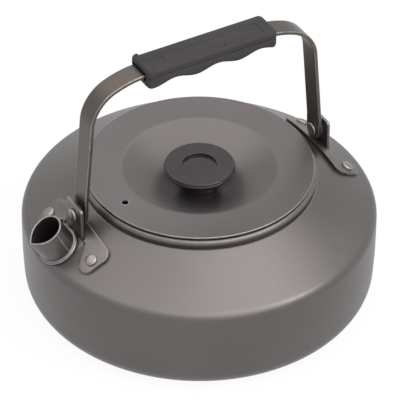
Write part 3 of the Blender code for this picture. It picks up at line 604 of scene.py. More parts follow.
class Finish:
    """A material under construction, with short calls for what the finishes share."""

    def __init__(self, name, base):
        self.surface = bpy.data.materials.new(name)
        self.surface.use_nodes = True
        self.tree = self.surface.node_tree
        self.shader = self.tree.nodes["Principled BSDF"]
        self.position = self.node("ShaderNodeTexCoord").outputs["Object"]
        self.base = base
        self.colour = self.tint(1)

    def node(self, kind, inputs=None, **settings):
        """Add a node, with its settings and what its sockets hold or are linked to."""
        made = self.tree.nodes.new(kind)
        for key, value in settings.items():
            setattr(made, key, value)
        for key, value in (inputs or {}).items():
            self.feed(made.inputs[key], value)
        return made

    def feed(self, socket, value):
        """Link a socket to another, or set its value."""
        if isinstance(value, bpy.types.NodeSocket):
            self.tree.links.new(value, socket)
        else:
            socket.default_value = value

    def noise(self, scale, detail=2, stretch=(1, 1, 1), position=None):
        """Noise that may be drawn out along an axis."""
        mapping = self.node("ShaderNodeMapping", {"Vector": position or self.position, "Scale": stretch})
        made = self.node("ShaderNodeTexNoise", {"Vector": mapping.outputs[0], "Scale": scale,
                                                "Detail": detail})
        return made.outputs["Fac"]

    def span(self, value, low=0, high=1, start=NOISE_LOW, end=NOISE_HIGH):
        """Spread a value that runs from start to end over the range from low to high."""
        made = self.node("ShaderNodeMapRange", {"Value": value, "From Min": start, "From Max": end,
                                                "To Min": low, "To Max": high})
        return made.outputs[0]

    def painted_light_and_wear_mask(self, start, full):
        """A point's share of the edge mark: 0 where its stored bend is up to start, and 1 from full on. On
        outer edges it carries wear and a painted highlight, in inner corners painted shade.
        """
        stored = self.node("ShaderNodeAttribute", attribute_name="wear_and_painted_light").outputs["Fac"]
        return self.span(stored, start=start, end=full)

    def plus(self, first, second):
        """Sum of two values."""
        return self.node("ShaderNodeMath", {0: first, 1: second}, operation='ADD').outputs[0]

    def times(self, first, second):
        """Product of two values."""
        return self.node("ShaderNodeMath", {0: first, 1: second}, operation='MULTIPLY').outputs[0]

    def tint(self, factor):
        """The base colour made lighter or darker."""
        return (*(min(part * factor, 1) for part in self.base), 1)

    def tone(self, amount, factor):
        """Lay a lighter or darker tint of the base colour over the colour so far, by an amount."""
        made = self.node("ShaderNodeMix", data_type='RGBA')
        self.feed(made.inputs[0], amount)
        self.feed(made.inputs[6], self.colour)
        self.feed(made.inputs[7], self.tint(factor))
        self.colour = made.outputs[2]

    def mottle(self, amount, darkest, lightest):
        """Start the colour, from its darkest tint to its lightest."""
        self.colour = self.tint(darkest)
        self.tone(amount, lightest)

    def bump(self, height, distance, strength):
        """Add a bump on top of those made before."""
        made = self.node("ShaderNodeBump", {"Height": height, "Distance": distance, "Strength": strength})
        normal = self.shader.inputs["Normal"]
        if normal.is_linked:
            self.feed(made.inputs["Normal"], normal.links[0].from_socket)
        self.feed(normal, made.outputs[0])

    def set(self, **sockets):
        """Link the colour, and set or link other sockets of the shader by name, with _ for a space."""
        for key, value in {"Base_Color": self.colour, **sockets}.items():
            self.feed(self.shader.inputs[key.replace("_", " ")], value)


def around_axis(finish):
    """Coordinates (radius, height, 0) about an object's z axis, for marks left by spinning or turning."""
    flat = finish.node("ShaderNodeVectorMath", {0: finish.position, 1: (1, 1, 0)}, operation='MULTIPLY')
    radius = finish.node("ShaderNodeVectorMath", {0: flat.outputs[0]}, operation='LENGTH')
    height = finish.node("ShaderNodeSeparateXYZ", {0: finish.position}).outputs[2]
    joined = finish.node("ShaderNodeCombineXYZ", {0: radius.outputs["Value"], 1: height})
    return joined.outputs[0]


def anodised_finish(name, base, rubbed_edge_and_highlight, spun):
    """Satin hard-anodised aluminium: matt grain, faint cloudiness, lighter worn edges with a painted
    highlight, painted shade in inner corners, and marks of spinning if it was spun.
    """
    finish = Finish(name, base)
    cloud = finish.noise(scale=22, detail=3)
    fleck = finish.noise(scale=1500)
    patches = finish.span(finish.noise(scale=260, detail=3), low=0.5)
    finish.mottle(finish.span(cloud), darkest=0.95, lightest=1.05)
    finish.tone(finish.span(fleck, high=0.5), factor=0.90)
    # Worn edges made lighter, which also paints a highlight on the bead, the lid's edge and the spout's rim
    finish.tone(finish.times(finish.painted_light_and_wear_mask(start=0.25, full=0.9), patches), factor=rubbed_edge_and_highlight)
    # Painted shade: darker in inner corners and creases, such as under the bead
    finish.tone(finish.painted_light_and_wear_mask(start=-0.2, full=-0.9), factor=0.88)
    cloud_roughness = finish.span(cloud, low=0.36, high=0.42)
    fleck_roughness = finish.span(fleck, low=-0.02, high=0.03)
    roughness = finish.plus(cloud_roughness, fleck_roughness)
    finish.set(Metallic=0.88, Roughness=roughness, Specular_IOR_Level=0.5)
    finish.bump(finish.noise(scale=2600), distance=0.00003, strength=0.35)
    finish.bump(finish.noise(scale=700), distance=0.00004, strength=0.15)
    if spun:
        rings = finish.noise(scale=1, detail=3, stretch=(1700, 1700, 1), position=around_axis(finish))
        finish.bump(rings, distance=0.00003, strength=0.22)
    return finish.surface


def strap_finish(name, base):
    """Satin strap: grain drawn along its length, and edges made brighter by wear and a painted highlight.
    """
    finish = Finish(name, base)
    grain = finish.noise(scale=1, detail=3, stretch=(60, 2600, 60))
    cloud = finish.noise(scale=45, detail=3)
    patches = finish.span(finish.noise(scale=320, detail=3), low=0.45)
    finish.mottle(finish.span(grain), darkest=0.86, lightest=1.12)
    finish.tone(finish.span(cloud, high=0.4), factor=0.85)
    # Worn edges made much lighter, which also paints a highlight along them
    finish.tone(finish.times(finish.painted_light_and_wear_mask(start=0.15, full=0.8), patches), factor=2.7)
    finish.set(Metallic=0.92, Roughness=finish.span(grain, low=0.30, high=0.40))
    finish.bump(grain, distance=0.00003, strength=0.30)
    finish.bump(finish.noise(scale=1900), distance=0.00003, strength=0.25)
    return finish.surface


def pressed_steel_finish(name, base, roughness, rubbed_edge_and_highlight):
    """Tumbled sheet steel: soft mottling, small scuffs, brighter edges that are partly wear and partly a
    painted highlight, and painted shade in inner corners.
    """
    finish = Finish(name, base)
    cloud = finish.noise(scale=160, detail=4)
    scuff = finish.noise(scale=1, detail=4, stretch=(900, 240, 900))
    finish.mottle(finish.span(cloud), darkest=0.84, lightest=1.10)
    finish.tone(finish.span(scuff, high=0.6, start=0.55, end=0.72), factor=0.72)
    # Worn edges made lighter, which also paints a highlight on them and on the rivet heads
    finish.tone(finish.painted_light_and_wear_mask(start=0.2, full=0.8), factor=rubbed_edge_and_highlight)
    # Painted shade: much darker in inner corners
    finish.tone(finish.painted_light_and_wear_mask(start=-0.2, full=-0.8), factor=0.45)
    finish.set(Metallic=0.92, Roughness=finish.span(cloud, low=roughness - 0.05, high=roughness + 0.06))
    finish.bump(finish.noise(scale=1400, detail=3), distance=0.00004, strength=0.35)
    finish.bump(cloud, distance=0.00005, strength=0.15)
    return finish.surface


def moulded_finish(name, base, roughness, grain_size, sheen, polished_edge_and_highlight):
    """Moulded plastic: a fine texture, flow marks, edges polished by use with a painted highlight on them,
    and painted shade in inner corners.
    """
    finish = Finish(name, base)
    flow = finish.noise(scale=1, detail=4, stretch=(18, 130, 130))
    grain = finish.noise(scale=1 / grain_size)
    finish.mottle(finish.span(flow, start=0.3, end=0.7), darkest=0.62, lightest=1.38)
    finish.tone(finish.span(grain, high=0.35), factor=1.35)
    # Polished edges made lighter, which also paints a highlight, such as the bright lines on the knob's rim
    finish.tone(finish.painted_light_and_wear_mask(start=0.15, full=0.8), factor=polished_edge_and_highlight)
    # Painted shade: darker in inner corners
    finish.tone(finish.painted_light_and_wear_mask(start=-0.15, full=-0.8), factor=0.55)
    flow_roughness = finish.span(flow, low=roughness - 0.06, high=roughness + 0.06)
    grain_roughness = finish.span(grain, low=-0.03, high=0.03)
    finish.set(Metallic=0, Roughness=finish.plus(flow_roughness, grain_roughness), Specular_IOR_Level=sheen)
    finish.bump(grain, distance=0.00006, strength=0.40)
    finish.bump(flow, distance=0.00005, strength=0.12)
    return finish.surface


def turned_metal_finish(name, base, roughness):
    """Bright turned metal of small fixings, with fine rings and a few dull spots."""
    finish = Finish(name, base)
    rings = finish.noise(scale=1, stretch=(3200, 3200, 1), position=around_axis(finish))
    spots = finish.noise(scale=420, detail=3)
    finish.mottle(finish.span(spots), darkest=0.82, lightest=1.08)
    finish.set(Metallic=1, Roughness=finish.span(spots, low=roughness, high=roughness + 0.12))
    finish.bump(rings, distance=0.00002, strength=0.30)
    return finish.surface


def seen_directly(tree):
    """1 for rays that see a surface directly, in a reflection or through glass, 0 for light."""
    path = tree.nodes.new("ShaderNodeLightPath")
    seen = path.outputs["Is Camera Ray"]
    for name in ("Is Glossy Ray", "Is Transmission Ray"):
        joined = tree.nodes.new("ShaderNodeMath")
        joined.operation = 'MAXIMUM'
        tree.links.new(seen, joined.inputs[0])
        tree.links.new(path.outputs[name], joined.inputs[1])
        seen = joined.outputs[0]
    return seen


def floor_finish(base):
    """Pale matt floor that is seen almost white, and keeps the kettle's shadow."""
    finish = Finish("studio_floor", base)
    finish.mottle(finish.span(finish.noise(scale=900, detail=3)), darkest=0.99, lightest=1.01)
    finish.set(Roughness=0.9, Specular_IOR_Level=0.1)
    glow = finish.node("ShaderNodeEmission", {"Color": WHITE, "Strength": 1})
    amount = finish.times(seen_directly(finish.tree), FLOOR_GLOW)
    mixed = finish.node("ShaderNodeMixShader", {0: amount, 1: finish.shader.outputs[0],
                                                2: glow.outputs[0]})
    output = finish.tree.nodes["Material Output"]
    finish.feed(output.inputs["Surface"], mixed.outputs[0])
    return finish.surface


def surfaces():
    """The kettle's materials by name, made once."""
    colours = bpy.context.scene.kettle_finishes
    # The edge factors lighten worn edges and so also paint a highlight on them
    recipes = {
        "spun_aluminium": (anodised_finish, colours.anodised, dict(rubbed_edge_and_highlight=2.15, spun=True)),
        "plain_aluminium": (anodised_finish, colours.anodised, dict(rubbed_edge_and_highlight=2.3, spun=False)),
        "pressed_steel": (pressed_steel_finish, colours.bracket, dict(roughness=0.40, rubbed_edge_and_highlight=1.5)),
        "riveted_metal": (pressed_steel_finish, colours.rivet, dict(roughness=0.34, rubbed_edge_and_highlight=1.2)),
        "drawn_steel": (strap_finish, colours.strap, {}),
        "charcoal_plastic": (moulded_finish, colours.grip,
                             dict(roughness=0.52, grain_size=0.00045, sheen=0.11, polished_edge_and_highlight=1.2)),
        "phenolic": (moulded_finish, colours.knob,
                     dict(roughness=0.17, grain_size=0.00030, sheen=0.38, polished_edge_and_highlight=2.6)),
        "nylon": (moulded_finish, colours.nylon,
                  dict(roughness=0.50, grain_size=0.00035, sheen=0.40, polished_edge_and_highlight=1.5)),
        "turned_brass": (turned_metal_finish, colours.brass, dict(roughness=0.25)),
        "stainless_steel": (turned_metal_finish, colours.stainless, dict(roughness=0.22)),
    }
    made = bpy.data.materials
    return {name: made.get(name) or maker(name, base, **settings)
            for name, (maker, base, settings) in recipes.items()}


# Frames and places on the kettle

def shoulder_height_at(sizes, radius):
    """Height of the outside of the shoulder at a distance from the axis."""
    return sizes.shoulder_height + (sizes.body_radius - radius) * math.tan(sizes.shoulder_slope)


def shoulder_frame(sizes, x, y):
    """Frame on the shoulder's outside at (x, y), its z axis square to the surface."""
    origin = Matrix.Translation((x, y, shoulder_height_at(sizes, math.hypot(x, y))))
    around = Matrix.Rotation(math.atan2(y, x), 4, 'Z')
    return origin @ around @ Matrix.Rotation(sizes.shoulder_slope, 4, 'Y')


def spout_frame(sizes):
    """Frame where the spout's axis meets the shoulder: z along the spout, x to its lip."""
    distance = sizes.body_radius - sizes.spout_setback
    origin = Matrix.Translation((-distance, 0, shoulder_height_at(sizes, distance)))
    half_turn = Matrix.Rotation(math.pi, 4, 'Z')
    return origin @ half_turn @ Matrix.Rotation(math.pi / 2 - sizes.spout_elevation, 4, 'Y')


def pivot_frame(side):
    """Frame on the bail's axis, its z axis pointing outward on one side of the kettle."""
    return Matrix.Translation((0, 0, PIVOT_HEIGHT)) @ Matrix.Rotation(side * math.pi / 2, 4, 'Y')


def ear_inner(sizes):
    """Distance of an ear's inner face from the axis."""
    return sizes.bead_radius + sizes.ear_standoff


def body_outline(sizes, top_radius):
    """Corners of the body's outside, from the middle of the base to a point on the shoulder."""
    middle_radius = (BASE_RADIUS + sizes.body_radius) / 2 + WALL_BULGE
    return [
        (0, 0, 0),
        (BASE_RADIUS, 0, BASE_CORNER),
        (middle_radius, sizes.shoulder_height / 2, WALL_CURVE),
        (sizes.body_radius, sizes.shoulder_height, SHOULDER_CORNER),
        (top_radius, shoulder_height_at(sizes, top_radius), 0),
    ]


def body_envelope(sizes, name, distance):
    """A solid that fills the body's outside, grown by a distance, to trim what lies on the shoulder."""
    outline = rounded(offset(body_outline(sizes, sizes.bead_radius - sizes.bead_thickness), -distance))
    outline.append(Vector((0, outline[-1].y)))
    return turned(name, outline[::-1], BODY_STEPS)


# Pieces

def make_body(sizes):
    """Body with its rolled bead and the hole for the spout."""
    mouth = sizes.bead_radius - sizes.bead_thickness
    inner_top = mouth + BODY_WALL * math.sin(sizes.shoulder_slope)
    inside = rounded(offset(body_outline(sizes, inner_top), BODY_WALL), arc_step=CORNER_ARC)
    bead_outer = sizes.bead_radius + BEAD_SHIFT
    outside = guarded(rounded(body_outline(sizes, bead_outer + BEAD_LEDGE)))
    centre = (bead_outer - sizes.bead_thickness / 2, BODY_TOP - BEAD_SINK - sizes.bead_thickness / 2)
    bead = arc(centre, sizes.bead_thickness / 2, math.pi, BEAD_LAST, BEAD_POINTS)
    neck = Vector((bead_outer - NECK_DEPTH, outside[-1].y + NECK_RISE))
    ledge = Vector((bead_outer - NECK_DEPTH, outside[-1].y))
    body = turned("body_skin", inside + bead + [neck, ledge] + outside[::-1], BODY_STEPS)
    hole = (sizes.spout_radius + HAIRLINE, -sizes.spout_length, sizes.spout_length)
    return combine(body, rod("spout_hole", *hole, spout_frame(sizes)))


def mouth_point(turn):
    """Point of the spout's mouth: round at the back, drawn out to a blunt point at the lip."""
    if abs(turn) > math.pi / 2:
        across = MOUTH_HALF_WIDTH * math.sin(turn)
        return Vector((MOUTH_CENTRE + MOUTH_HALF_WIDTH * math.cos(turn), across))
    part = 1 - abs(turn) / (math.pi / 2)
    across = math.copysign(MOUTH_HALF_WIDTH * (1 - part ** LIP_POWER), turn)
    return Vector((MOUTH_CENTRE + MOUTH_REACH * part, across))


def spout_point(sizes, turn, part, lift=0):
    """Point on the outside of the spout, at an angle around it and a part of its length."""
    root = Vector((sizes.spout_radius * math.cos(turn), sizes.spout_radius * math.sin(turn)))
    flat = root.lerp(mouth_point(turn), part ** SPOUT_EASE)
    flat += flat.normalized() * lift
    height = sizes.collar_height + (sizes.spout_length - sizes.collar_height) * part
    return Vector((flat.x, flat.y, height + MOUTH_TILT * flat.x * part ** SPOUT_EASE))


def make_spout(sizes):
    """Thin tube, from its round root inside the body to its lipped mouth."""
    turns = [math.tau * column / SPOUT_COLUMNS - math.pi for column in range(SPOUT_COLUMNS)]
    flare = sizes.spout_radius + SPOUT_FLARE
    inner_rows = [(-SPOUT_INNER_LENGTH, flare), (-SPOUT_INNER_LENGTH + SPOUT_FLARE, sizes.spout_radius)]
    rows = [[Vector((radius * math.cos(turn), radius * math.sin(turn), height)) for turn in turns]
            for height, radius in inner_rows]
    for index in range(SPOUT_ROWS + 1):
        rows.append([spout_point(sizes, turn, index / SPOUT_ROWS) for turn in turns])
    spout = lofted("spout_skin", rows, spout_frame(sizes), capped=False)
    wall = spout.modifiers.new("Wall", 'SOLIDIFY')
    wall.thickness = sizes.spout_wall
    wall.offset = -1
    wall.use_even_offset = True
    return soften(settle(spout), SPOUT_RIM_EDGE)


def make_seam(sizes):
    """Thin lapped edge that runs down the side of the spout."""
    half = SEAM_WIDTH / 2 / sizes.spout_radius
    across = [(-half, -SEAM_SINK), (-half, SEAM_HEIGHT / 2), (-half / 2, SEAM_HEIGHT),
              (half / 2, SEAM_HEIGHT), (half, SEAM_HEIGHT / 2), (half, -SEAM_SINK)]
    last = 1 - SPOUT_RIM_EDGE / sizes.spout_length
    rows = []
    for index in range(SEAM_POINTS + 1):
        part = last * index / SEAM_POINTS
        rows.append([spout_point(sizes, SEAM_ANGLE + turn, part, lift) for turn, lift in across])
    return lofted("spout_seam", rows, spout_frame(sizes))


def make_collar(sizes):
    """Band with a sloping rim around the root of the spout, trimmed to lie on the shoulder."""
    inner = sizes.spout_radius + HAIRLINE
    outer = sizes.spout_radius + COLLAR_WALL
    profile = guarded(rounded([
        (inner, -sizes.spout_radius, 0),
        (inner, sizes.collar_height, 0),
        (outer, sizes.collar_height - COLLAR_SLOPE, COLLAR_OUTER_EDGE),
        (outer, -sizes.spout_radius, 0),
    ], arc_step=CORNER_ARC))
    collar = turned("collar_skin", profile, COLLAR_STEPS, spout_frame(sizes), closed=True)
    return combine(collar, body_envelope(sizes, "collar_seat", GAP))


def plate_outline(sizes):
    """Outline of a bracket's plate seen from above: two wings and the tab that carries the ear."""
    inner = ear_inner(sizes) - PLATE_INSET
    outer = ear_inner(sizes) + sizes.ear_thickness
    wing_end = sizes.wing_span / 2
    wing_outer = outer + WING_REACH
    wing_inner_y = wing_end - WING_WIDTH
    tab = sizes.ear_width / 2 + GAP
    half = [
        (inner, wing_end, WING_CORNER),
        (wing_outer, wing_end - WING_TAPER, WING_OUTER_CORNER),
        (wing_outer, wing_inner_y, WING_CORNER),
        (outer, wing_inner_y - WING_SLANT, NOTCH_WIDTH),
        (outer, tab + NOTCH_WIDTH, 0),
        (outer - NOTCH_DEPTH, tab + NOTCH_WIDTH, 0),
        (outer - NOTCH_DEPTH, tab, 0),
        (outer - GAP, tab, 0),
    ]
    return rounded(mirrored_loop(half), closed=True)


def reach_at(outline, y):
    """Smallest and largest x of an outline at one y."""
    found = []
    for point, after in zip(outline, outline[1:] + outline[:1]):
        if point.y != after.y and (point.y - y) * (after.y - y) <= 0:
            found.append(point.x + (after.x - point.x) * (y - point.y) / (after.y - point.y))
    return min(found), max(found)


def plate_rows(sizes):
    """Sections across a bracket's plate, with its upper edges rounded, from wing end to wing end."""
    outline = plate_outline(sizes)
    end = max(point.y for point in outline) - HAIRLINE
    count = math.ceil(2 * end / PLATE_STEP)
    stations = {-end + 2 * end * index / count for index in range(count + 1)}
    for point in outline:
        stations |= {point.y - HAIRLINE, point.y + HAIRLINE}
    stations |= {side * (end - part * PLATE_EDGE) for side in (-1, 1) for part in PLATE_EDGE_PARTS}
    rise = 1 / math.cos(sizes.shoulder_slope)
    inset = PLATE_EDGE * (1 - math.cos(math.pi / 4))
    rows = []
    for y in sorted(station for station in stations if abs(station) <= end):
        first, last = reach_at(outline, y)
        lowered = max(PLATE_EDGE - (end - abs(y)), 0)
        top = GAP + sizes.plate_thickness - PLATE_EDGE + math.sqrt(PLATE_EDGE ** 2 - lowered ** 2)
        across = [(first, GAP), (first, top - PLATE_EDGE), (first + inset, top - inset)]
        span = last - first - 2 * PLATE_EDGE
        across += [(first + PLATE_EDGE + span * index / PLATE_COLUMNS, top)
                   for index in range(PLATE_COLUMNS + 1)]
        across += [(last - inset, top - inset), (last, top - PLATE_EDGE), (last, GAP)]
        rows.append([Vector((x, y, shoulder_height_at(sizes, math.hypot(x, y)) + lift * rise))
                     for x, lift in across])
    return rows


def make_ear(sizes):
    """Upright ear of a bracket with its edges rounded, cut to stand in the plate."""
    low = shoulder_height_at(sizes, ear_inner(sizes) + sizes.ear_thickness) - PIVOT_HEIGHT
    half_width = sizes.ear_width / 2
    corners = mirrored_loop([(low, half_width, 0), (sizes.ear_rise, half_width, EAR_CORNER)])
    outline = [(-first, second) for first, second in rounded(corners, closed=True)]
    curve = bpy.data.curves.new("ear", 'CURVE')
    curve.dimensions = '2D'
    curve.fill_mode = 'BOTH'
    curve.extrude = sizes.ear_thickness / 2 - EAR_EDGE
    curve.bevel_depth = EAR_EDGE
    curve.bevel_resolution = EAR_EDGE_POINTS
    curve.offset = -EAR_EDGE
    spline = curve.splines.new('POLY')
    spline.points.add(len(outline) - 1)
    for point, (first, second) in zip(spline.points, outline):
        point.co = (first, second, 0, 1)
    spline.use_cyclic_u = True
    guide = bpy.data.objects.new("ear_outline", curve)
    collection("camping_kettle").objects.link(guide)
    middle = ear_inner(sizes) + sizes.ear_thickness / 2
    guide.matrix_world = pivot_frame(1) @ Matrix.Translation((0, 0, middle))
    mesh = evaluated_mesh(guide)
    shape = bmesh.new()
    shape.from_mesh(mesh)
    bmesh.ops.remove_doubles(shape, verts=shape.verts, dist=MERGE)
    ear = place("ear_blank", mesh_from(shape, "ear_blank"), guide.matrix_world.copy())
    bpy.data.objects.remove(guide)
    return combine(ear, body_envelope(sizes, "ear_root", GAP + sizes.plate_thickness / 2))


def make_brackets(sizes):
    """The rear bracket, and the front one turned round and cut clear of the spout's collar."""
    rear = lofted("rear_bracket_skin", plate_rows(sizes))
    combine(rear, make_ear(sizes), 'UNION')
    opposite = Matrix.Rotation(math.pi, 4, 'Z')
    front = place("front_bracket_skin", rear.data.copy(), opposite)
    room = (sizes.spout_radius + COLLAR_WALL + GAP, -sizes.spout_radius, sizes.spout_length)
    combine(front, rod("collar_room", *room, spout_frame(sizes)))
    return front, rear


def make_bracket_rivets(sizes):
    """Four rivets with flat-topped heads, which hold the brackets to the shoulder."""
    low = GAP + sizes.plate_thickness + HAIRLINE
    tail_top = -BODY_WALL - GAP
    profile = dome(sizes.rivet_radius, low + HEAD_RIM, sizes.rivet_height - HEAD_RIM)
    profile += [Vector(point) for point in (
        (sizes.rivet_radius, low),
        (RIVET_SHANK_RADIUS, low),
        (RIVET_SHANK_RADIUS, tail_top),
        (RIVET_TAIL_RADIUS, tail_top),
    )]
    profile += dome(RIVET_TAIL_RADIUS, tail_top - HEAD_RIM, HEAD_RIM - RIVET_TAIL_HEIGHT)[::-1]
    distance = ear_inner(sizes) + RIVET_FROM_EAR
    side = sizes.wing_span / 2 - RIVET_FROM_WING_END
    places = [(x, y) for x in (-distance, distance) for y in (-side, side)]
    return [turned("rivet_head_%d" % number, profile, HEAD_STEPS, shoulder_frame(sizes, x, y))
            for number, (x, y) in enumerate(places, 1)]


def make_pivot_rivets(sizes):
    """The two rivets that the bail turns on, with a head outside the ear and one inside the strap."""
    outer_low = ear_inner(sizes) + sizes.ear_thickness + GAP
    inner_high = STRAP_OUTER - sizes.strap_thickness - GAP
    outer_height = PIVOT_HEAD_OUTER - outer_low
    inner_height = inner_high - PIVOT_HEAD_INNER
    profile = dome(PIVOT_HEAD_RADIUS, outer_low + HEAD_RIM, outer_height - HEAD_RIM)
    profile += [Vector(point) for point in (
        (PIVOT_HEAD_RADIUS, outer_low),
        (PIVOT_SHANK_RADIUS, outer_low),
        (PIVOT_SHANK_RADIUS, inner_high),
        (PIVOT_HEAD_RADIUS, inner_high),
    )]
    profile += dome(PIVOT_HEAD_RADIUS, inner_high - HEAD_RIM, HEAD_RIM - inner_height)[::-1]
    return [turned("pivot_head_" + label, profile, HEAD_STEPS, pivot_frame(side))
            for side, label in ((-1, "front"), (1, "rear"))]


def strap_path(sizes):
    """Middle line of the strap from end to end, as (x, height, half width)."""
    middle = STRAP_OUTER - sizes.strap_thickness / 2
    top = STRAP_TOP - sizes.strap_thickness / 2
    foot = PIVOT_HEIGHT + BAIL_UPRIGHT
    corner_height = top - BAIL_CORNER_DROP
    corner_x = middle - (corner_height - foot) * math.tan(BAIL_LEAN)
    upper_x = corner_x - BAIL_CORNER_DROP / math.tan(BAIL_SLOPE)
    line = rounded([
        (0, top, 0),
        (upper_x, top, BAIL_UPPER_BEND),
        (corner_x, corner_height, BAIL_CORNER_BEND),
        (middle, foot, BAIL_FOOT_BEND),
        (middle, PIVOT_HEIGHT, 0),
    ], arc_step=STRAP_ARC)
    half = [(point.x, point.y, STRAP_WIDTH / 2) for point in line]
    for index in range(1, STRAP_END_POINTS + 1):
        turn = STRAP_END_ARC * index / STRAP_END_POINTS
        width = min(STRAP_END_RADIUS * math.cos(turn), STRAP_WIDTH / 2)
        half.append((middle, PIVOT_HEIGHT - STRAP_END_RADIUS * math.sin(turn), width))
    return [(-x, height, width) for x, height, width in reversed(half[1:])] + half


def strap_rows(sizes, grown=0):
    """Rounded sections along the strap, grown on all sides by a clearance.

    The narrowest ones, at its ends, have fewer points and are left out.
    """
    path = strap_path(sizes)
    half_thickness = sizes.strap_thickness / 2 + grown
    rows = []
    for index, (x, z, half_width) in enumerate(path):
        before = path[max(index - 1, 0)]
        after = path[min(index + 1, len(path) - 1)]
        along = Vector((after[0] - before[0], after[1] - before[1])).normalized()
        width = half_width + grown
        section = guarded(rounded([
            (-half_thickness, -width, STRAP_EDGE),
            (half_thickness, -width, STRAP_EDGE),
            (half_thickness, width, STRAP_EDGE),
            (-half_thickness, width, STRAP_EDGE),
        ], closed=True, arc_step=CORNER_ARC), closed=True)
        rows.append([Vector((x - along.y * point.x, point.y, z + along.x * point.x)) for point in section])
    most_points = max(len(row) for row in rows)
    return [row for row in rows if len(row) == most_points]


def tilt_bail(item):
    """Tip the top of the bail slightly down towards the rear, and leave its feet where they are."""
    for vertex in item.data.vertices:
        share_of_tilt = min(max((vertex.co.z - PIVOT_HEIGHT - BAIL_UPRIGHT) / TILT_RISE, 0), 1)
        vertex.co.z -= vertex.co.x * BAIL_TILT * share_of_tilt
    return item


def make_strap(sizes):
    """Bent strap with rounded edges and ends."""
    return tilt_bail(lofted("strap_skin", strap_rows(sizes)))


def grip_stations():
    """Where the grip's sections lie along x, close together at its ends and its collar."""
    quarter = [math.pi / 2 * index / END_POINTS for index in range(END_POINTS + 1)]
    ends = [GRIP_BOTTOM_ROUND * (1 - math.cos(turn)) for turn in quarter]
    collar = GRIP_FRONT + GRIP_COLLAR
    steps = [collar - GUARD, collar, collar + GRIP_COLLAR_SLANT, collar + GRIP_COLLAR_SLANT + GUARD]
    first = GRIP_FRONT + GRIP_BOTTOM_ROUND
    last = GRIP_REAR - GRIP_BOTTOM_ROUND
    count = math.ceil((last - first) / GRIP_STEP)
    middle = [first + (last - first) * index / count for index in range(count + 1)]
    middle = [x for x in middle if all(abs(x - step) > GUARD / 2 for step in steps)]
    outer = [GRIP_FRONT + step for step in ends[:-1]] + [GRIP_REAR - step for step in ends[:-1]]
    return sorted(outer + middle + steps)


def end_inset(x, radius):
    """How far a rounded end pulls a section in."""
    from_round = min(max(radius - min(x - GRIP_FRONT, GRIP_REAR - x), 0), radius)
    return radius - math.sqrt(radius ** 2 - from_round ** 2)


def grip_seam():
    """Height of the seam between the grip's halves."""
    return STRAP_TOP + GRIP_COVER - GRIP_COVER_DEPTH


def cover_section(sizes, x):
    """Section of the grip's cover, with its end collar."""
    collar_end = GRIP_FRONT + GRIP_COLLAR
    collared = min(max((collar_end + GRIP_COLLAR_SLANT - x) / GRIP_COLLAR_SLANT, 0), 1)
    half_width = sizes.grip_width / 2 + GRIP_COLLAR_WIDEN * collared - end_inset(x, GRIP_PLAN_ROUND)
    top = STRAP_TOP + GRIP_COVER + GRIP_COLLAR_RAISE * collared - end_inset(x, GRIP_COVER_ROUND)
    seam = grip_seam()
    edge = min(GRIP_EDGE, (top - seam) * GRIP_EDGE_SHARE)
    flat = half_width - edge
    columns = [(flat * (2 * index / COVER_COLUMNS - 1), top, 0) for index in range(1, COVER_COLUMNS)]
    outline = [(half_width, seam, GRIP_SEAM_EDGE), (-half_width, seam, GRIP_SEAM_EDGE)]
    outline += [(-half_width, top, edge)] + columns + [(half_width, top, edge)]
    return rounded(outline, closed=True, arc_step=CORNER_ARC)


def lower_section(sizes, x):
    """Section of the grip's lower half, whose bottom waves in four lobes."""
    shift = (GRIP_FRONT + GRIP_REAR) / 2 + LOBE_SHIFT
    strap_middle = STRAP_TOP - sizes.strap_thickness / 2
    wave = math.cos(math.tau * (x - shift - LOBE_PITCH / 2) / LOBE_PITCH)
    bottom = strap_middle - LOBE_BOTTOM + LOBE_DEPTH / 2 * (1 - wave) + end_inset(x, GRIP_BOTTOM_ROUND)
    half_width = sizes.grip_width / 2 - end_inset(x, GRIP_PLAN_ROUND)
    seam = grip_seam() - GAP
    return rounded([
        (half_width, bottom, GRIP_EDGE),
        (half_width, seam, GRIP_SEAM_EDGE),
        (-half_width, seam, GRIP_SEAM_EDGE),
        (-half_width, bottom, GRIP_EDGE),
    ], closed=True, arc_step=CORNER_ARC)


def grip_marks():
    """Cutters for the shallow marks that moulding left in the top of the grip."""
    top = Matrix.Translation((0, 0, STRAP_TOP + GRIP_COVER))
    marks = []
    for x, y, x_length, y_length in GRIP_LINES:
        corner = Vector((max(x_length, MARK_WIDTH) / 2, max(y_length, MARK_WIDTH) / 2, MARK_DEPTH))
        middle = Vector((x, y, 0))
        marks.append(block("grip_mark", middle - corner, middle + corner, top))
    dot = top @ Matrix.Translation(GRIP_DOT)
    return marks + [rod("grip_dot", MARK_WIDTH, -2 * MARK_DEPTH, MARK_DEPTH, dot)]


def make_grip(sizes):
    """The grip's cover and its lower half, with a channel for the strap and a pocket in each end."""
    half_width = STRAP_WIDTH / 2 + POCKET_MARGIN
    half_height = sizes.strap_thickness / 2 + POCKET_RISE
    corner = Vector((POCKET_DEPTH, half_width, half_height))
    pieces = []
    for name, section in (("grip_cover_skin", cover_section), ("grip_lower_skin", lower_section)):
        rows = [[Vector((x, y, z)) for y, z in section(sizes, x)] for x in grip_stations()]
        half = lofted(name, rows)
        combine(half, lofted("strap_channel", strap_rows(sizes, GAP)))
        for x in (GRIP_FRONT, GRIP_REAR):
            pocket = Matrix.Translation((x, 0, STRAP_TOP - sizes.strap_thickness / 2))
            combine(half, block("grip_pocket", -corner, corner, pocket))
        pieces.append(half)
    for mark in grip_marks():
        combine(pieces[0], mark)
    return [tilt_bail(piece) for piece in pieces]


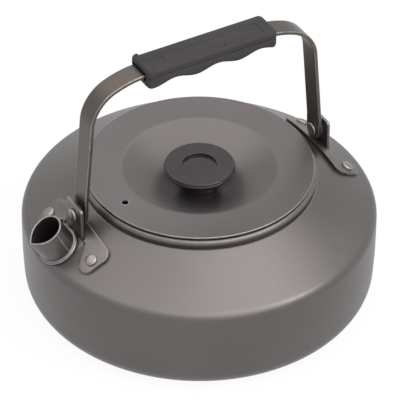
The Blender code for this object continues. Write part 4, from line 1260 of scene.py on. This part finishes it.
def make_lid(sizes):
    """Pressed lid: a flat rim around a dish, with its vent hole and the hole for the knob's screw."""
    floor = LID_TOP - sizes.dish_depth
    upper = [
        (0, floor, 0),
        (DISH_FLOOR_RADIUS, floor, DISH_FLOOR_BEND),
        (sizes.dish_radius, LID_TOP, DISH_RIM_BEND),
        (sizes.vent_distance - VENT_MARGIN, LID_TOP, 0),
        (sizes.vent_distance + VENT_MARGIN, LID_TOP, 0),
        (LID_RADIUS, LID_TOP, LID_EDGE),
        (LID_RADIUS, LID_TOP - sizes.lid_sheet, LID_EDGE),
    ]
    lower = offset(upper[:3] + [(LID_RADIUS, LID_TOP, 0)], -sizes.lid_sheet)[:-1]
    profile = guarded(rounded(upper + lower[::-1]))
    lid = turned("lid_skin", profile, BODY_STEPS)
    turn = Matrix.Rotation(sizes.vent_angle, 4, 'Z')
    vent = turn @ Matrix.Translation((sizes.vent_distance, 0, LID_TOP))
    combine(lid, rod("vent_hole", sizes.vent_radius, -2 * sizes.lid_sheet, sizes.lid_sheet, vent))
    middle = Matrix.Translation((0, 0, floor))
    return combine(lid, rod("screw_hole", SCREW_HOLE_RADIUS, -2 * sizes.lid_sheet, sizes.lid_sheet, middle))


def make_knob():
    """Moulded knob: a disc with a recess and a fine parting groove, on a waisted neck."""
    disc_bottom = KNOB_TOP - KNOB_DISC
    recess = KNOB_TOP - KNOB_RECESS_DEPTH
    groove = KNOB_TOP - KNOB_DISC * KNOB_GROOVE_LEVEL
    profile = guarded(rounded([
        (0, recess, 0),
        (KNOB_RECESS_RADIUS - KNOB_RECESS_SLOPE, recess, KNOB_RECESS_EDGE),
        (KNOB_RECESS_RADIUS, KNOB_TOP, KNOB_RECESS_EDGE),
        (KNOB_RADIUS - KNOB_GROOVE_DEPTH, KNOB_TOP, KNOB_EDGE),
        (KNOB_RADIUS - KNOB_GROOVE_DEPTH, groove, 0),
        (KNOB_RADIUS, groove - KNOB_GROOVE_WIDTH / 3, KNOB_GROOVE_WIDTH),
        (KNOB_RADIUS, disc_bottom, KNOB_EDGE),
        (KNOB_NECK_RADIUS, disc_bottom - KNOB_CONE, KNOB_CONE),
        (KNOB_FOOT_RADIUS, KNOB_BOTTOM, 0),
        (KNOB_BORE, KNOB_BOTTOM, 0),
        (KNOB_BORE, KNOB_BOTTOM + KNOB_BORE_DEPTH, 0),
        (0, KNOB_BOTTOM + KNOB_BORE_DEPTH, 0),
    ]))
    return turned("knob_skin", profile, KNOB_STEPS)


# Stage

def make_camera():
    """Camera at the photograph's place and angle."""
    data = bpy.data.cameras.new("camera")
    data.lens = CAMERA_LENS
    data.sensor_width = CAMERA_SENSOR
    camera = bpy.data.objects.new("camera", data)
    bpy.context.scene.collection.objects.link(camera)
    level = math.cos(CAMERA_ELEVATION)
    forward = Vector((-math.sin(CAMERA_AZIMUTH) * level, math.cos(CAMERA_AZIMUTH) * level,
                      -math.sin(CAMERA_ELEVATION)))
    roll = Quaternion((0, 0, 1), CAMERA_ROLL)
    camera.rotation_mode = 'QUATERNION'
    camera.rotation_quaternion = forward.to_track_quat('-Z', 'Y') @ roll
    camera.location = CAMERA_PLACE
    bpy.context.scene.camera = camera


def make_lamp(name, location, size, power):
    """A soft square lamp aimed at the kettle."""
    data = bpy.data.lights.new(name, 'AREA')
    data.color = LAMP_COLOUR
    data.size = size
    data.energy = power
    lamp = bpy.data.objects.new(name, data)
    lamp.location = location
    lamp.rotation_euler = (AIM - Vector(location)).to_track_quat('-Z', 'Y').to_euler()
    bpy.context.scene.collection.objects.link(lamp)


def make_world(strength):
    """Even light from all around, seen as plain white."""
    world = bpy.data.worlds.new("studio")
    world.use_nodes = True
    tree = world.node_tree
    level = tree.nodes.new("ShaderNodeMapRange")
    level.inputs["To Min"].default_value = strength
    level.inputs["To Max"].default_value = 1
    tree.links.new(seen_directly(tree), level.inputs["Value"])
    background = tree.nodes["Background"]
    background.inputs["Color"].default_value = WHITE
    tree.links.new(level.outputs[0], background.inputs["Strength"])
    bpy.context.scene.world = world


def make_floor(base):
    """Wide floor just below the kettle."""
    shape = bmesh.new()
    bmesh.ops.create_grid(shape, x_segments=FLOOR_SQUARES, y_segments=FLOOR_SQUARES, size=FLOOR_SIZE,
                          matrix=Matrix.Translation((0, 0, -FLOOR_DROP)))
    floor = place("floor", mesh_from(shape, "floor"))
    floor.data.materials.append(floor_finish(base))


# Operators

class KETTLE_OT_body(Operator):
    """Make the spun body and its rolled bead"""

    bl_idname = "kettle.body"
    bl_label = "Body"
    bl_options = {'REGISTER', 'UNDO'}

    def execute(self, context):
        body = make_body(context.scene.kettle_sizes)
        dress(body, surfaces()["spun_aluminium"], "anodised_aluminium", "kettle", "kettle_body")
        return {'FINISHED'}


class KETTLE_OT_spout(Operator):
    """Make the lipped spout, its seam and the collar at its root"""

    bl_idname = "kettle.spout"
    bl_label = "Spout"
    bl_options = {'REGISTER', 'UNDO'}

    def execute(self, context):
        sizes = context.scene.kettle_sizes
        plain = surfaces()["plain_aluminium"]
        dress(make_spout(sizes), plain, "anodised_aluminium", "kettle", "spout_tube")
        dress(make_seam(sizes), plain, "anodised_aluminium", "kettle")
        dress(make_collar(sizes), plain, "anodised_aluminium", "kettle", "spout_collar")
        return {'FINISHED'}


class KETTLE_OT_brackets(Operator):
    """Make the two pressed brackets that carry the bail"""

    bl_idname = "kettle.brackets"
    bl_label = "Brackets"
    bl_options = {'REGISTER', 'UNDO'}

    def execute(self, context):
        steel = surfaces()["pressed_steel"]
        front, rear = make_brackets(context.scene.kettle_sizes)
        dress(front, steel, "bracket_steel", "kettle", "front_bracket")
        dress(rear, steel, "bracket_steel", "kettle", "rear_bracket")
        return {'FINISHED'}


class KETTLE_OT_rivets(Operator):
    """Make the rivets of the brackets and of the bail's pivots"""

    bl_idname = "kettle.rivets"
    bl_label = "Rivets"
    bl_options = {'REGISTER', 'UNDO'}

    def execute(self, context):
        sizes = context.scene.kettle_sizes
        metal = surfaces()["riveted_metal"]
        for number, rivet in enumerate(make_bracket_rivets(sizes), 1):
            dress(rivet, metal, "rivet_metal", "kettle", "bracket_rivet_%d" % number)
        for label, rivet in zip(("front", "rear"), make_pivot_rivets(sizes)):
            dress(rivet, metal, "rivet_metal", "kettle", "pivot_rivet_" + label)
        return {'FINISHED'}


class KETTLE_OT_strap(Operator):
    """Make the bail's bent strap"""

    bl_idname = "kettle.strap"
    bl_label = "Strap"
    bl_options = {'REGISTER', 'UNDO'}

    def execute(self, context):
        strap = make_strap(context.scene.kettle_sizes)
        dress(strap, surfaces()["drawn_steel"], "strap_steel", "bail", "bail_strap")
        return {'FINISHED'}


class KETTLE_OT_grip(Operator):
    """Make the two moulded halves of the grip"""

    bl_idname = "kettle.grip"
    bl_label = "Grip"
    bl_options = {'REGISTER', 'UNDO'}

    def execute(self, context):
        cover, lower = make_grip(context.scene.kettle_sizes)
        plastic = surfaces()["charcoal_plastic"]
        dress(cover, plastic, "grip_plastic", "bail", "grip_upper")
        dress(lower, plastic, "grip_plastic", "bail", "grip_lower")
        return {'FINISHED'}


class KETTLE_OT_lid(Operator):
    """Make the pressed lid with its dish and vent hole"""

    bl_idname = "kettle.lid"
    bl_label = "Lid"
    bl_options = {'REGISTER', 'UNDO'}

    def execute(self, context):
        lid = make_lid(context.scene.kettle_sizes)
        dress(lid, surfaces()["spun_aluminium"], "anodised_aluminium", "lid_set", "lid")
        return {'FINISHED'}


class KETTLE_OT_knob(Operator):
    """Make the moulded knob"""

    bl_idname = "kettle.knob"
    bl_label = "Knob"
    bl_options = {'REGISTER', 'UNDO'}

    def execute(self, context):
        dress(make_knob(), surfaces()["phenolic"], "knob_plastic", "lid_set", "lid_knob")
        return {'FINISHED'}


class KETTLE_OT_fixings(Operator):
    """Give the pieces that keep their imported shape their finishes"""

    bl_idname = "kettle.fixings"
    bl_label = "Fixings"
    bl_options = {'REGISTER', 'UNDO'}

    def execute(self, context):
        made = surfaces()
        finishes = {
            "plain_aluminium": ("lid_ring",),
            "nylon": ("pivot_washer_front", "pivot_washer_rear"),
            "turned_brass": ("knob_insert",),
            "stainless_steel": ("knob_screw", "knob_washer", "grip_pin_1", "grip_pin_2"),
        }
        for finish, names in finishes.items():
            for name in names:
                finish_node(name, made[finish])
        return {'FINISHED'}


class KETTLE_OT_stage(Operator):
    """Make the floor, the lights and the camera"""

    bl_idname = "kettle.stage"
    bl_label = "Stage"
    bl_options = {'REGISTER', 'UNDO'}

    def execute(self, context):
        finishes = context.scene.kettle_finishes
        make_floor(finishes.floor)
        make_world(finishes.sky_light)
        make_lamp("ceiling_light", CEILING_PLACE, CEILING_SIZE, finishes.ceiling_power)
        make_lamp("key_light", KEY_PLACE, KEY_SIZE, finishes.key_power)
        make_lamp("glint_light", GLINT_PLACE, GLINT_SIZE, finishes.glint_power)
        make_camera()
        context.scene.view_settings.view_transform = 'Standard'
        return {'FINISHED'}


STEPS = (
    KETTLE_OT_body,
    KETTLE_OT_spout,
    KETTLE_OT_brackets,
    KETTLE_OT_rivets,
    KETTLE_OT_strap,
    KETTLE_OT_grip,
    KETTLE_OT_lid,
    KETTLE_OT_knob,
    KETTLE_OT_fixings,
    KETTLE_OT_stage,
)


class KETTLE_PT_panel(Panel):
    """Sizes, colours and steps of the kettle"""

    bl_idname = "KETTLE_PT_panel"
    bl_label = "Camping Kettle"
    bl_space_type = 'VIEW_3D'
    bl_region_type = 'UI'
    bl_category = "Kettle"

    def draw(self, context):
        layout = self.layout
        for group in (context.scene.kettle_sizes, context.scene.kettle_finishes):
            column = layout.column(align=True)
            for name in group.__annotations__:
                column.prop(group, name)
        column = layout.column(align=True)
        for step in STEPS:
            column.operator(step.bl_idname)


CLASSES = (KettleSizes, KettleFinishes, *STEPS, KETTLE_PT_panel)


def register():
    """Register the classes and their properties."""
    for item in CLASSES:
        bpy.utils.register_class(item)
    bpy.types.Scene.kettle_sizes = PointerProperty(type=KettleSizes)
    bpy.types.Scene.kettle_finishes = PointerProperty(type=KettleFinishes)


def unregister():
    """Remove the classes and their properties."""
    del bpy.types.Scene.kettle_finishes
    del bpy.types.Scene.kettle_sizes
    for item in reversed(CLASSES):
        bpy.utils.unregister_class(item)


def main():
    """Make every piece and the stage."""
    register()
    bpy.ops.kettle.body()
    bpy.ops.kettle.spout()
    bpy.ops.kettle.brackets()
    bpy.ops.kettle.rivets()
    bpy.ops.kettle.strap()
    bpy.ops.kettle.grip()
    bpy.ops.kettle.lid()
    bpy.ops.kettle.knob()
    bpy.ops.kettle.fixings()
    bpy.ops.kettle.stage()


if __name__ == "__main__":
    main()
